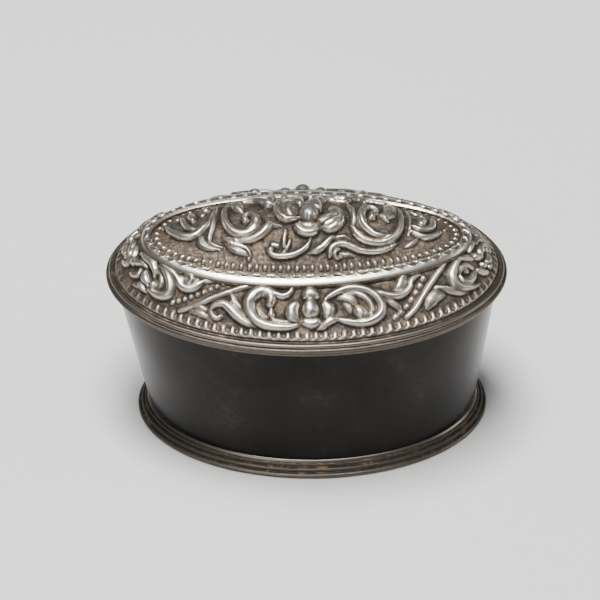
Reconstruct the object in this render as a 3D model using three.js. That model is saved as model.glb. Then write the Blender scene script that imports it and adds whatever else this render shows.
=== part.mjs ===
// Lime container: an oval silver box with a lift-off domed lid.
// Millimetres, +Z up, +X along the length. The origin is the centre of the foot's underside.
import * as THREE from "three";
import { mergeVertices } from "three/addons/utils/BufferGeometryUtils.js";

// The whole box, at the lid's edge
const lidLength = 72.0;
const lidWidth = 47.2;

// Foot: a flared, stepped ring
const footSetInAtEnds = 4.0; // from the lid's edge in to the foot's edge
const footSetInAtSides = 1.7;
const footLength = lidLength - 2 * footSetInAtEnds;
const footWidth = lidWidth - 2 * footSetInAtSides;
const footHeight = 2.8;
const footFlare = 2.1; // how far the foot's edge stands out past the wall
const footLand = 1.4; // width of the flat that touches the ground
const footSheet = 0.7; // height of the foot's inner edge
const floorLedge = 1.0; // how far the foot runs in under the floor
const footShift = 0.9; // the foot sits this far towards +X of the lid, and the wall leans to meet it

// Base: a tapering wall with a flat floor
const wallHeight = 26.0;
const wallThickness = 1.0;
const floorThickness = 0.9;

// Seat: the wire round the mouth that the lid rests on
const seatHeight = 1.0;
const seatProud = 0.9; // how far the wire stands out past the wall

// Lid: rim, flange, sloping frieze, ring and dome
const lidOverhang = 1.8; // from the lid's edge in to the wall at the mouth
const rimHeight = 1.6;
const rimLand = 1.8; // from the lid's edge in to the foot of the frieze
const lowerReedRadius = 0.45;
const upperReedRadius = 0.4;
const upperReedInset = 0.55; // how far the upper reed is set back
const flangeDepth = 4.5;
const flangeThickness = 0.9;
const friezeRise = 5.7;
const friezeBulge = 0.35;
const sheetThickness = 0.9;
const ringLength = 58.9;
const ringWidth = 27.8;
const ringThickness = 1.0;
const ringCrown = 0.2; // how far the band falls from its crown to its inner edge
const ringBandAtEnds = 1.7;
const ringBandAtSides = 2.95;
const ringSetback = 0.45; // from the ring's edge in to the top of the frieze
const ringTaper = 0.08; // the ring and dome are this share slimmer towards +X and fuller towards -X
const domeLip = 0.9;
const domeRise = 5.0;
const domePower = 2.1; // 2 is a parabola, and more is flatter on top
const domeLedge = 0.5; // how far the frieze's flange runs in under the dome
const domeBorderRows = 3; // rows of the dome's sheet at its edge that stay plain, under the bead row
const mirroredBelow = -2.2; // forms of the dome nearer the viewer than this y repeat on the far side
const friezeOut = 0.55; // the frieze's relief stands out and up by these shares of its height
const friezeUp = 0.8;
const friezeFade = 0.2; // share of the slope over which its relief sinks away under the ring

// Fits
const fitGap = 0.3; // between neighbours that the smith solders
const runningGap = 0.3; // between the lid and the base

// Fineness
const roundSteps = 80;
const reliefRoundSteps = 160; // round the sheets that carry the relief
const domeSteps = 22;
const domeInsideSteps = 6;
const friezeSteps = 9;
const friezeInsideSteps = 4;
const reedSteps = 5;
const curveSteps = 4; // from one drawn point of a raised form to the next

// Heights of the stack
const footTop = footHeight;
const wallTop = footTop + wallHeight;
const seatTop = wallTop + seatHeight;
const rimBottom = seatTop + runningGap;
const rimTop = rimBottom + rimHeight;
const friezeTop = rimTop + friezeRise;

// Raised forms of the dome, each with a half-width, a height and a line drawn in plan: x along the
// box and y away from the viewer.
const domeForms = [
  { halfWidth: 1.1, height: 1.2, line: [[-14.4, 4], [-14.5, 0.5], [-13.3, -3], [-10.5, -4.5], [-8.9, -2], [-10.2, 0]] },
  { halfWidth: 1.0, height: 1.1, line: [[-13.2, -4.9], [-10, -5.6], [-7.3, -3.8], [-4.6, -3.1]] },
  { halfWidth: 0.9, height: 0.8, line: [[-14.4, -4.4], [-12, -6.5], [-10, -8]] },
  { halfWidth: 0.8, height: 0.9, line: [[-16.2, 4], [-16.4, -1.5], [-17, -4.6]] },
  { halfWidth: 0.9, height: 0.6, line: [[-18.4, -4.2], [-17, -5.6], [-15.2, -6.1]] },
  { halfWidth: 1.0, height: 0.9, line: [[-24.4, 0.6], [-22.2, -2], [-19.5, -2.5], [-17.2, 0]] },
  { halfWidth: 0.8, height: 0.8, line: [[-21.8, 1.8], [-20.4, -1], [-18.4, -0.8]] },
  { halfWidth: 1.3, height: 1.0, line: [[-12.1, 5], [-11.7, 1.2]] },
  { halfWidth: 1.0, height: 0.9, line: [[-9, 7], [-8.9, 5]] },
  { halfWidth: 0.9, height: 0.9, line: [[-6.3, 7], [-6.2, 4.2]] },
  { halfWidth: 0.8, height: 0.9, line: [[0.6, -6], [-1.7, -8], [-5, -8.4], [-6.7, -7.6]] },
  { halfWidth: 0.6, height: 0.8, line: [[-3.6, -4.4], [-3.8, -7]] },
  { halfWidth: 0.9, height: 0.9, line: [[4.8, -5.5], [2.8, -7.1], [0.8, -7.9]] },
  { halfWidth: 0.8, height: 1.0, line: [[4.4, -8], [5.6, -6.5], [10, -7.1], [15.4, -5.3]] },
  { halfWidth: 1.0, height: 1.1, line: [[8.3, -3], [11.5, -5.6], [15.5, -4], [16.8, 0], [16.7, 3]] },
  { halfWidth: 0.9, height: 1.1, line: [[9.8, 2.4], [9.7, -1.2], [11.5, -4], [14.4, -4.4]] },
  { halfWidth: 0.7, height: 1.0, line: [[7.6, 2.2], [8.4, -2.4]] },
  { halfWidth: 1.4, height: 0.9, line: [[15.1, 3.6], [14.4, -0.4]] },
  { halfWidth: 1.1, height: 0.9, line: [[11.8, 3.4], [11.5, -0.4]] },
  { halfWidth: 0.9, height: 0.9, line: [[7.4, 7], [7.3, 4.2]] },
  { halfWidth: 0.6, height: 0.8, line: [[18.3, 1.5], [18.1, -3]] },
  { halfWidth: 0.9, height: 0.8, line: [[22.4, 2.4], [21.3, -1.1], [18.9, -1.2]] },
  { halfWidth: 0.8, height: 0.8, line: [[18.8, -2.4], [21, -2.8], [23.8, -0.8]] },
];

// The flower on top of the dome, drawn the same way: petals first, then the bud
const flowerForms = [
  { halfWidth: 1.6, height: 1.0, line: [[-0.8, 4.6], [-0.6, 6.6]] },
  { halfWidth: 1.4, height: 1.0, line: [[2.2, 3.8], [2.7, 5.8]] },
  { halfWidth: 1.2, height: 1.3, line: [[-2.6, 3], [-4.8, 2.2], [-4.4, -1], [-2.2, -1.9]] },
  { halfWidth: 1.2, height: 1.3, line: [[-1.2, -3.3], [0.3, -4.4], [1.7, -3.9]] },
  { halfWidth: 1.2, height: 1.3, line: [[4.8, 0.4], [5.8, -1.6], [3.8, -3.8]] },
  { halfWidth: 2.2, height: 1.5, line: [[0.6, -0.6], [0.7, 0.6]] },
  { halfWidth: 1.2, height: 1.5, line: [[1.1, 1.4], [1.1, 3]] },
];

// Raised forms of the frieze's near half. Their lines are drawn by the turn round the box in degrees,
// 0 at +X and 90 at the viewer, and by the share of the slope. The far half is the same, turned round.
const friezeForms = [
  { halfWidth: 0.6, height: 0.6, line: [[131.5, 0.3], [120.6, 0.745], [108, 0.98]] },
  { halfWidth: 0.6, height: 0.6, line: [[57, 0.27], [45.4, 0.7], [34, 0.97]] },
  { halfWidth: 1.0, height: 1.1, line: [[93.4, 0.31], [100.2, 0.28], [107, 0.42], [109.3, 0.7], [105.4, 0.93], [101.6, 0.8]] },
  { halfWidth: 0.7, height: 0.9, line: [[102.2, 0.9], [98, 0.84], [95.3, 0.94]] },
  { halfWidth: 0.8, height: 0.9, line: [[118.2, 0.35], [121, 0.48], [117.4, 0.6], [112.3, 0.42], [106, 0.27]] },
  { halfWidth: 0.8, height: 0.6, line: [[115.8, 0.75], [111.2, 0.46], [108.4, 0.34]] },
  { halfWidth: 1.0, height: 1.1, line: [[84.8, 0.73], [79, 0.9], [71.4, 0.9], [65.5, 0.67], [66.8, 0.39], [73, 0.3], [80, 0.41]] },
  { halfWidth: 0.6, height: 0.8, line: [[78, 0.83], [71.2, 0.76], [68.7, 0.5]] },
  { halfWidth: 1.3, height: 1.1, line: [[73, 0.5], [72.2, 0.46]] },
  { halfWidth: 0.8, height: 0.9, line: [[66, 0.82], [58.4, 0.67], [52.4, 0.84], [47.6, 0.93]] },
  { halfWidth: 0.9, height: 0.7, line: [[54.8, 0.93], [59, 0.76]] },
  { halfWidth: 1.1, height: 0.7, line: [[49, 0.34], [44.2, 0.49], [41.6, 0.43]] },
  { halfWidth: 0.7, height: 0.6, line: [[43, 0.62], [38.4, 0.48], [31, 0.27]] },
  { halfWidth: 0.9, height: 1.0, line: [[23, 0.25], [32.4, 0.44], [33.6, 0.69], [26, 0.9], [16, 0.78]] },
  { halfWidth: 0.8, height: 0.9, line: [[29, 0.68], [22.4, 0.71]] },
  { halfWidth: 0.8, height: 0.9, line: [[29.6, 0.58], [27.2, 0.46], [21, 0.51]] },
  { halfWidth: 0.8, height: 0.8, line: [[18.2, 0.46], [13.6, 0.28]] },
  { halfWidth: 0.8, height: 0.8, line: [[8.6, 0.6], [1.6, 0.66]] },
  { halfWidth: 0.7, height: 0.7, line: [[8, 0.42], [1.4, 0.42]] },
  { halfWidth: 1.0, height: 1.0, line: [[157, 0.97], [145, 0.95], [138, 0.82], [131.5, 0.79], [128.4, 0.94]] },
  { halfWidth: 1.3, height: 0.9, line: [[136, 0.92], [132.6, 0.9]] },
  { halfWidth: 0.9, height: 1.0, line: [[151, 0.94], [143.4, 0.83], [139.6, 0.56], [147.4, 0.43]] },
  { halfWidth: 0.8, height: 0.8, line: [[148.4, 0.78], [145.4, 0.6], [148, 0.54]] },
  { halfWidth: 0.9, height: 0.9, line: [[168.4, 0.9], [158, 0.93], [151.2, 0.77]] },
  { halfWidth: 0.7, height: 0.8, line: [[170, 0.6], [159, 0.78]] },
  { halfWidth: 0.8, height: 0.8, line: [[178.6, 0.8], [171.2, 0.58], [177, 0.35]] },
  { halfWidth: 0.9, height: 0.8, line: [[156.8, 0.63], [152.2, 0.5]] },
  { halfWidth: 0.8, height: 0.6, line: [[164.4, 0.43], [160, 0.6]] },
  { halfWidth: 1.1, height: 1.1, line: [[94.4, 0.66], [94.2, 0.5]] },
  { halfWidth: 1.1, height: 1.0, line: [[83.1, 0.62], [83.2, 0.52]] },
  { halfWidth: 0.9, height: 1.0, line: [[90, 0.36], [87.4, 0.36]] },
  { halfWidth: 1.1, height: 1.2, line: [[89.5, 0.86], [87.7, 0.86]] },
  { halfWidth: 1.5, height: 1.6, line: [[88.7, 0.68], [88.7, 0.58]] },
];

// A station of a profile: half-length, half-width, height, taper and shift towards +X.
function station(halfLength, halfWidth, z, taper = 0, shift = 0) {
  return { halfLength, halfWidth, z, taper, shift, raised: 0 };
}

// A station set in from an oval of the given outside length and width.
function inset(length, width, distance, z, shift = 0) {
  return station(length / 2 - distance, width / 2 - distance, z, 0, shift);
}

// A point of the oval at a station. It can be pushed out and up, as relief is.
function ovalPoint(p, turn, out = 0, up = 0) {
  const slimmer = 1 - p.taper * Math.cos(turn);
  return new THREE.Vector3(
    (p.halfLength + out) * Math.cos(turn) + p.shift,
    (p.halfWidth + out) * Math.sin(turn) * slimmer,
    p.z + up,
  );
}

// Turns a profile round the oval. It climbs on the outside and comes down on the inside, and it
// starts and ends on the axis or at the same station. A relief tells how far each point stands up.
function ovalSolid(profile, steps = roundSteps, relief = null) {
  const outline = profile.map((p) => new THREE.Vector2(p.halfLength, p.z));
  const geometry = new THREE.LatheGeometry(outline, steps);
  const position = geometry.getAttribute("position");
  for (let i = 0; i < position.count; i += 1) {
    const p = profile[i % profile.length];
    const step = Math.floor(i / profile.length) % steps;
    const turn = (step / steps) * 2 * Math.PI;
    const plain = ovalPoint(p, turn);
    const height = p.raised ? p.raised * relief.heightAt(plain) : 0;
    const point = height ? ovalPoint(p, turn, relief.out * height, relief.up * height) : plain;
    position.setXYZ(i, point.x, point.y, point.z);
  }
  geometry.deleteAttribute("normal");
  geometry.deleteAttribute("uv");
  const solid = mergeVertices(geometry, 1e-4);
  solid.computeVertexNormals();
  return solid;
}

function closed(profile, steps, relief) {
  return ovalSolid([...profile, profile[0]], steps, relief);
}

// The same station, carrying this share of the relief
function carrying(p, raised) {
  return { ...p, raised };
}

// Lays drawn forms on a sheet and tells how high they stand over any point of it. Each form is a
// rounded ridge along its curve. The sheet's outward direction is given as out and up.
class Relief {
  constructor(forms, layOut, out, up) {
    this.out = out;
    this.up = up;
    this.ridges = forms.map(({ halfWidth, height, line }) => {
      const curve = new THREE.CatmullRomCurve3(line.map(layOut));
      const points = curve.getPoints(curveSteps * (line.length - 1));
      const pieces = points.slice(1).map((point, i) => new THREE.Line3(points[i], point));
      return { halfWidth, height, pieces };
    });
  }

  heightAt(point) {
    const nearest = new THREE.Vector3();
    let highest = 0;
    for (const { halfWidth, height, pieces } of this.ridges) {
      for (const piece of pieces) {
        piece.closestPointToPoint(point, true, nearest);
        const off = Math.min(1, point.distanceTo(nearest) / halfWidth);
        highest = Math.max(highest, height * Math.cos((off * Math.PI) / 2));
      }
    }
    return highest;
  }
}

// The quarter and half rounds of the mouldings: an arc of insets and heights.
function reed(centreInset, centreZ, radius, fromDegrees, toDegrees) {
  const points = [];
  for (let i = 0; i <= reedSteps; i += 1) {
    const share = i / reedSteps;
    const angle = THREE.MathUtils.degToRad(
      THREE.MathUtils.lerp(fromDegrees, toDegrees, share),
    );
    points.push([
      centreInset - radius * Math.cos(angle),
      centreZ + radius * Math.sin(angle),
    ]);
  }
  return points;
}

// Base wall, outside and inside, at a height
function wallOutside(z) {
  const share = (z - footTop) / wallHeight;
  const bottomHalfLength = footLength / 2 - footFlare;
  const bottomHalfWidth = footWidth / 2 - footFlare;
  const mouthHalfLength = lidLength / 2 - lidOverhang;
  const mouthHalfWidth = lidWidth / 2 - lidOverhang;
  return station(
    THREE.MathUtils.lerp(bottomHalfLength, mouthHalfLength, share),
    THREE.MathUtils.lerp(bottomHalfWidth, mouthHalfWidth, share),
    z,
    0,
    footShift * (1 - share),
  );
}

function shrunk(p, distance) {
  return station(
    p.halfLength - distance,
    p.halfWidth - distance,
    p.z,
    p.taper,
    p.shift,
  );
}

function wallInside(z) {
  return shrunk(wallOutside(z), wallThickness);
}

function makeFootRing() {
  const edge = (distance, z) => inset(footLength, footWidth, distance, z, footShift);
  const stepHeight = footHeight / 3;
  const stepSetback = footFlare / 3;
  const outside = [];
  for (let i = 0; i < 3; i += 1) {
    const setback = i * stepSetback;
    const low = i * stepHeight;
    outside.push(edge(setback, low));
    outside.push(edge(setback, low + 0.55 * stepHeight));
    outside.push(edge(setback + 0.45 * stepSetback, low + 0.9 * stepHeight));
  }
  const ledge = footFlare + wallThickness + fitGap + floorLedge;
  return closed([
    ...outside,
    edge(footFlare, footTop),
    edge(ledge, footTop),
    edge(ledge, footTop - footSheet),
    edge(footLand, 0),
  ]);
}

function makeBaseWall() {
  const bottom = wallOutside(footTop);
  const top = wallOutside(wallTop);
  return closed([bottom, top, wallInside(wallTop), wallInside(footTop)]);
}

function makeBaseFloor() {
  const edge = shrunk(wallInside(footTop), fitGap);
  const top = footTop + floorThickness;
  return ovalSolid([
    station(0, 0, footTop, 0, edge.shift),
    edge,
    station(edge.halfLength, edge.halfWidth, top, 0, edge.shift),
    station(0, 0, top, 0, edge.shift),
  ]);
}

function makeSeatWire() {
  const mouth = wallOutside(wallTop);
  const inner = wallInside(wallTop);
  const out = (distance, z) =>
    station(mouth.halfLength + distance, mouth.halfWidth + distance, z);
  return closed([
    out(0, wallTop),
    out(0.7 * seatProud, wallTop + 0.15 * seatHeight),
    out(seatProud, wallTop + 0.5 * seatHeight),
    out(0.7 * seatProud, wallTop + 0.85 * seatHeight),
    out(0.2 * seatProud, seatTop),
    station(inner.halfLength, inner.halfWidth, seatTop),
    station(inner.halfLength, inner.halfWidth, wallTop),
  ]);
}

// The flange hangs from the rim and slides down inside the mouth.
function flangeOutside(z) {
  const narrowest = wallInside(rimBottom - flangeDepth);
  const clear = shrunk(narrowest, runningGap + narrowest.shift);
  return station(clear.halfLength, clear.halfWidth, z);
}

function makeLidFlange() {
  const bottom = flangeOutside(rimBottom - flangeDepth);
  const top = flangeOutside(rimBottom);
  return closed([
    bottom,
    top,
    shrunk(top, flangeThickness),
    shrunk(bottom, flangeThickness),
  ]);
}

function makeLidRim() {
  const inner = shrunk(flangeOutside(rimBottom), flangeThickness);
  const lower = reed(lowerReedRadius, lowerReedRadius, lowerReedRadius, -90, 60);
  const upper = reed(
    upperReedInset + upperReedRadius,
    rimHeight - upperReedRadius,
    upperReedRadius,
    -30,
    90,
  );
  const outside = [...lower, ...upper].map(([distance, z]) =>
    inset(lidLength, lidWidth, distance, rimBottom + z),
  );
  return closed([
    ...outside,
    station(inner.halfLength, inner.halfWidth, rimTop),
    inner,
  ]);
}

// A height share up the frieze, 0 at its foot and 1 at the ring, pulled in by a distance.
function friezeStation(share, pulledIn, drop) {
  const bulge = friezeBulge * Math.sin(Math.PI * share);
  const footHalfLength = lidLength / 2 - rimLand;
  const footHalfWidth = lidWidth / 2 - rimLand;
  const topHalfLength = ringLength / 2 - ringSetback;
  const topHalfWidth = ringWidth / 2 - ringSetback;
  return station(
    THREE.MathUtils.lerp(footHalfLength, topHalfLength, share) + bulge - pulledIn,
    THREE.MathUtils.lerp(footHalfWidth, topHalfWidth, share) + bulge - pulledIn,
    rimTop + friezeRise * share - drop,
    ringTaper * share,
  );
}

function domeEdge(pulledIn, z) {
  return station(
    ringLength / 2 - ringBandAtEnds - fitGap - pulledIn,
    ringWidth / 2 - ringBandAtSides - fitGap - pulledIn,
    z,
    ringTaper,
  );
}

function makeLidFrieze() {
  const outside = [];
  for (let i = 0; i <= friezeSteps; i += 1) {
    const share = i / friezeSteps;
    const raised = i === 0 ? 0 : Math.min(1, (1 - share) / friezeFade);
    outside.push(carrying(friezeStation(share, 0, 0), raised));
  }
  const inside = [];
  const flangeShare = 1 - sheetThickness / friezeRise;
  for (let i = 0; i <= friezeInsideSteps; i += 1) {
    const share = (i / friezeInsideSteps) * flangeShare;
    inside.unshift(friezeStation(share, 1.5 * sheetThickness, 0));
  }
  const flangeEdge = sheetThickness + domeLedge;
  const profile = [
    ...outside,
    domeEdge(flangeEdge, friezeTop),
    domeEdge(flangeEdge, friezeTop - sheetThickness),
    ...inside,
  ];
  // the viewer's side is -Y, so a drawn turn runs the other way from the oval's own
  const onFrieze = (turnedBy) => ([degrees, share]) =>
    ovalPoint(friezeStation(share, 0, 0), THREE.MathUtils.degToRad(-degrees - turnedBy));
  const near = new Relief(friezeForms, onFrieze(0), friezeOut, friezeUp);
  const far = new Relief(friezeForms, onFrieze(180), friezeOut, friezeUp);
  near.ridges.push(...far.ridges);
  return closed(profile, reliefRoundSteps, near);
}

function makeCrescentRing() {
  const innerHalfLength = ringLength / 2 - ringBandAtEnds;
  const innerHalfWidth = ringWidth / 2 - ringBandAtSides;
  const across = (share, z) =>
    station(
      THREE.MathUtils.lerp(ringLength / 2, innerHalfLength, share),
      THREE.MathUtils.lerp(ringWidth / 2, innerHalfWidth, share),
      z,
      ringTaper,
    );
  const top = friezeTop + ringThickness;
  return closed([
    across(0, friezeTop),
    across(0, top - 4 * ringCrown),
    across(0.15, top - 2.2 * ringCrown),
    across(0.35, top - 0.7 * ringCrown),
    across(0.65, top),
    across(1, top - ringCrown),
    across(1, friezeTop),
  ]);
}

// The dome's sheet at a share out from its top, 1 at its edge, pulled in and dropped by distances
function domeStation(out, pulledIn, drop) {
  const edge = domeEdge(pulledIn, friezeTop + domeLip - drop);
  const rise = domeRise * (1 - out ** domePower);
  return station(edge.halfLength * out, edge.halfWidth * out, edge.z + rise, ringTaper);
}

// Where a line drawn in plan lies on the dome
function onDome([x, y]) {
  const edge = domeEdge(0, 0);
  const flat = Math.hypot(x / edge.halfLength, y / edge.halfWidth);
  return new THREE.Vector3(x, y, domeStation(flat, 0, 0).z);
}

function makeLidDome() {
  const inside = [];
  for (let i = 0; i <= domeInsideSteps; i += 1) {
    inside.push(domeStation(i / domeInsideSteps, sheetThickness, 0.8 * sheetThickness));
  }
  const outside = [];
  for (let i = 0; i <= domeSteps; i += 1) {
    outside.push(carrying(domeStation(1 - i / domeSteps, 0, 0), i < domeBorderRows ? 0 : 1));
  }
  const profile = [
    ...inside,
    domeEdge(sheetThickness, friezeTop),
    domeEdge(0, friezeTop),
    ...outside,
  ];
  // what lies wholly on the viewer's side is repeated on the far side
  const farForms = domeForms
    .filter(({ line }) => line.every(([, y]) => y < mirroredBelow))
    .map((form) => ({ ...form, line: form.line.map(([x, y]) => [x, -y]) }));
  const relief = new Relief([...domeForms, ...farForms, ...flowerForms], onDome, 0, 1);
  return ovalSolid(profile, reliefRoundSteps, relief);
}

function silver(colour, roughness) {
  return new THREE.MeshStandardMaterial({ color: colour, roughness, metalness: 1 });
}

const reliefSilver = silver(0x8a8074, 0.38);
const rimSilver = silver(0x5a5148, 0.42);
const bodySilver = silver(0x24211f, 0.25);

function addPiece(group, name, geometry, material) {
  const mesh = new THREE.Mesh(geometry, material);
  mesh.name = name;
  group.add(mesh);
}

const base = new THREE.Group();
addPiece(base, "foot_ring", makeFootRing(), rimSilver);
addPiece(base, "base_wall", makeBaseWall(), bodySilver);
addPiece(base, "base_floor", makeBaseFloor(), bodySilver);
addPiece(base, "seat_wire", makeSeatWire(), rimSilver);

const lid = new THREE.Group();
addPiece(lid, "lid_rim", makeLidRim(), rimSilver);
addPiece(lid, "lid_flange", makeLidFlange(), bodySilver);
addPiece(lid, "lid_frieze", makeLidFrieze(), reliefSilver);
addPiece(lid, "crescent_ring", makeCrescentRing(), reliefSilver);
addPiece(lid, "lid_dome", makeLidDome(), reliefSilver);

const limeContainer = new THREE.Group();
limeContainer.add(base, lid);

export default limeContainer;
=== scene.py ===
import math

import bpy
import numpy as np
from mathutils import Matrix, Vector


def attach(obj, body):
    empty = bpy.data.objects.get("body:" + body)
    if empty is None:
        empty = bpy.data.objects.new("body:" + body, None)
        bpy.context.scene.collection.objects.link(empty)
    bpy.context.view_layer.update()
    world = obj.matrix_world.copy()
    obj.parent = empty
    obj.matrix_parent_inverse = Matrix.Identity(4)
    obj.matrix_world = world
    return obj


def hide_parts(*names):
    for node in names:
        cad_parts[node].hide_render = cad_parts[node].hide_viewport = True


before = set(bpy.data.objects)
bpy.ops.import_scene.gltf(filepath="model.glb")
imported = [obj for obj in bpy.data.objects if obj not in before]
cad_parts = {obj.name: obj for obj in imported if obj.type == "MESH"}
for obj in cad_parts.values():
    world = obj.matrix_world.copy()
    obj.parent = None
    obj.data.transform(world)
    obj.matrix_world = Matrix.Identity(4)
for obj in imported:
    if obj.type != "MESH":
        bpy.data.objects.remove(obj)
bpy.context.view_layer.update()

mm = 0.001

# Sizes that several pieces share, in millimetres, the same as the solid model's
box = {
    "lidLength": 72.0,
    "lidWidth": 47.2,
    "lidOverhang": 1.8,
    "rimLand": 1.8,
    "footSetInAtEnds": 4.0,
    "footSetInAtSides": 1.7,
    "footFlare": 2.1,
    "footShift": 0.9,
    "footTop": 2.8,
    "wallTop": 28.8,
    "seatTop": 29.8,
    "rimBottom": 30.1,
    "rimTop": 31.7,
    "friezeTop": 37.4,
    "ringLength": 58.9,
    "ringWidth": 27.8,
    "ringBandAtEnds": 1.7,
    "ringBandAtSides": 2.95,
    "ringTaper": 0.08,
}


# ---- hands: what the pieces below are made with


def deselectAll():
    if bpy.context.object and bpy.context.object.mode != "OBJECT":
        bpy.ops.object.mode_set(mode="OBJECT")
    bpy.ops.object.select_all(action="DESELECT")


def pick(piece):
    deselectAll()
    piece.select_set(True)
    bpy.context.view_layer.objects.active = piece


# An oval piece laid up row by row: half-length, half-width, height and shift of each row, in mm
def layOval(name, rows, around=360, capped=False):
    deselectAll()
    bpy.ops.mesh.primitive_circle_add(vertices=around, radius=mm)
    piece = bpy.context.object
    piece.name = name
    first = rows[0]
    bpy.ops.object.mode_set(mode="EDIT")
    bpy.ops.mesh.select_mode(type="VERT")
    bpy.ops.mesh.select_all(action="SELECT")
    bpy.ops.transform.resize(value=(first[0], first[1], 1), center_override=(0, 0, 0))
    bpy.ops.transform.translate(value=(first[3] * mm, 0, first[2] * mm))
    for old, new in zip(rows, rows[1:]):
        step = ((new[3] - old[3]) * mm, 0, (new[2] - old[2]) * mm)
        bpy.ops.mesh.extrude_region_move(TRANSFORM_OT_translate={"value": step})
        bpy.ops.transform.resize(
            value=(new[0] / old[0], new[1] / old[1], 1),
            center_override=(new[3] * mm, 0, new[2] * mm),
        )
    bpy.ops.mesh.select_all(action="DESELECT")
    bpy.ops.mesh.select_non_manifold()
    if capped:
        bpy.ops.mesh.edge_face_add() if len(rows) == 1 else bpy.ops.mesh.fill_holes(sides=0)
    else:
        bpy.ops.mesh.bridge_edge_loops()
    bpy.ops.mesh.select_all(action="SELECT")
    bpy.ops.mesh.normals_make_consistent(inside=False)
    bpy.ops.object.mode_set(mode="OBJECT")
    return piece


# Rows set in from an oval: how far in, how high, and how grimy each is, a value that on the foot's top also paints a
# highlight
def rowsFrom(length, width, steps, shift=0.0):
    return [(length / 2 - inset, width / 2 - inset, height, shift) for inset, height, *rest in steps]


# A half round seen from the side: insets and heights from one angle to another
def reed(inset, height, radius, start, end, count, grime=0.3):
    steps = []
    for i in range(count + 1):
        angle = math.radians(start + (end - start) * i / count)
        # the side that faces out is worn, the two roots are grimy
        worn = grime + (0.75 - grime) * abs(math.sin(angle - math.radians(20))) ** 3
        steps.append((inset - radius * math.cos(angle), height + radius * math.sin(angle), worn))
    return steps


# Grime runs from 0, worn bright, to 1, black; on the foot's top it also carries a painted highlight. It is kept on the
# piece for its finish to read
def keepGrimeAndShade(piece, steps, around=360):
    grime = [step[2] if len(step) > 2 else 0.6 for step in steps]
    layer = piece.data.attributes.new("grime", "FLOAT", "POINT")
    count = len(piece.data.vertices)
    row = np.minimum(np.arange(count) // around, len(grime) - 1)
    layer.data.foreach_set("value", np.array(grime, np.float32)[row])


# Long soft dents, as hammered and handled metal has
def handled(piece, depth, size):
    pick(piece)
    cloud = bpy.data.textures.new(piece.name + "Dents", "CLOUDS")
    cloud.noise_scale = size * mm
    cloud.noise_depth = 1
    dents = piece.modifiers.new("dents", "DISPLACE")
    dents.texture = cloud
    dents.texture_coords = "LOCAL"
    dents.strength = depth * mm
    dents.mid_level = 0.5
    bpy.ops.object.modifier_apply(modifier="dents")


def smoothShade(piece, degrees=None):
    pick(piece)
    if degrees is None:
        bpy.ops.object.shade_smooth()
    else:
        bpy.ops.object.shade_smooth_by_angle(angle=math.radians(degrees))


def settle(piece, body, node, finish):
    piece.data.materials.clear()
    piece.data.materials.append(finish)
    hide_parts(node)
    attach(piece, body)
    print(f"{piece.name}: {len(piece.data.polygons)} faces")


# A drawn line through points, even and smooth
def smoothLine(points, perSpan=7):
    points = np.array(points, float)
    if len(points) < 3:
        share = np.linspace(0, 1, perSpan)[:, None]
        return points[0] * (1 - share) + points[-1] * share
    ends = np.vstack([2 * points[0] - points[1], points, 2 * points[-1] - points[-2]])
    line = []
    for before, start, end, after in zip(ends, ends[1:], ends[2:], ends[3:]):
        t = (np.arange(perSpan) / perSpan)[:, None]
        line.append(
            0.5 * (
                2 * start
                + (end - before) * t
                + (2 * before - 5 * start + 4 * end - after) * t ** 2
                + (3 * start - before - 3 * end + after) * t ** 3
            )
        )
    return np.vstack(line + [points[-1:]])


def blurred(field, reach, wraps):
    for axis in (0, 1):
        for repeat in range(3):
            mode = "wrap" if (wraps and axis == 1) else "edge"
            pad = [(0, 0), (0, 0)]
            pad[axis] = (reach, reach)
            wide = np.pad(field, pad, mode=mode)
            total = np.cumsum(wide, axis=axis)
            total = np.concatenate([np.zeros_like(np.take(total, [0], axis=axis)), total], axis=axis)
            size = 2 * reach + 1
            upper = np.take(total, range(size, total.shape[axis]), axis=axis)
            lower = np.take(total, range(0, total.shape[axis] - size), axis=axis)
            field = (upper - lower) / size
    return field


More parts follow.
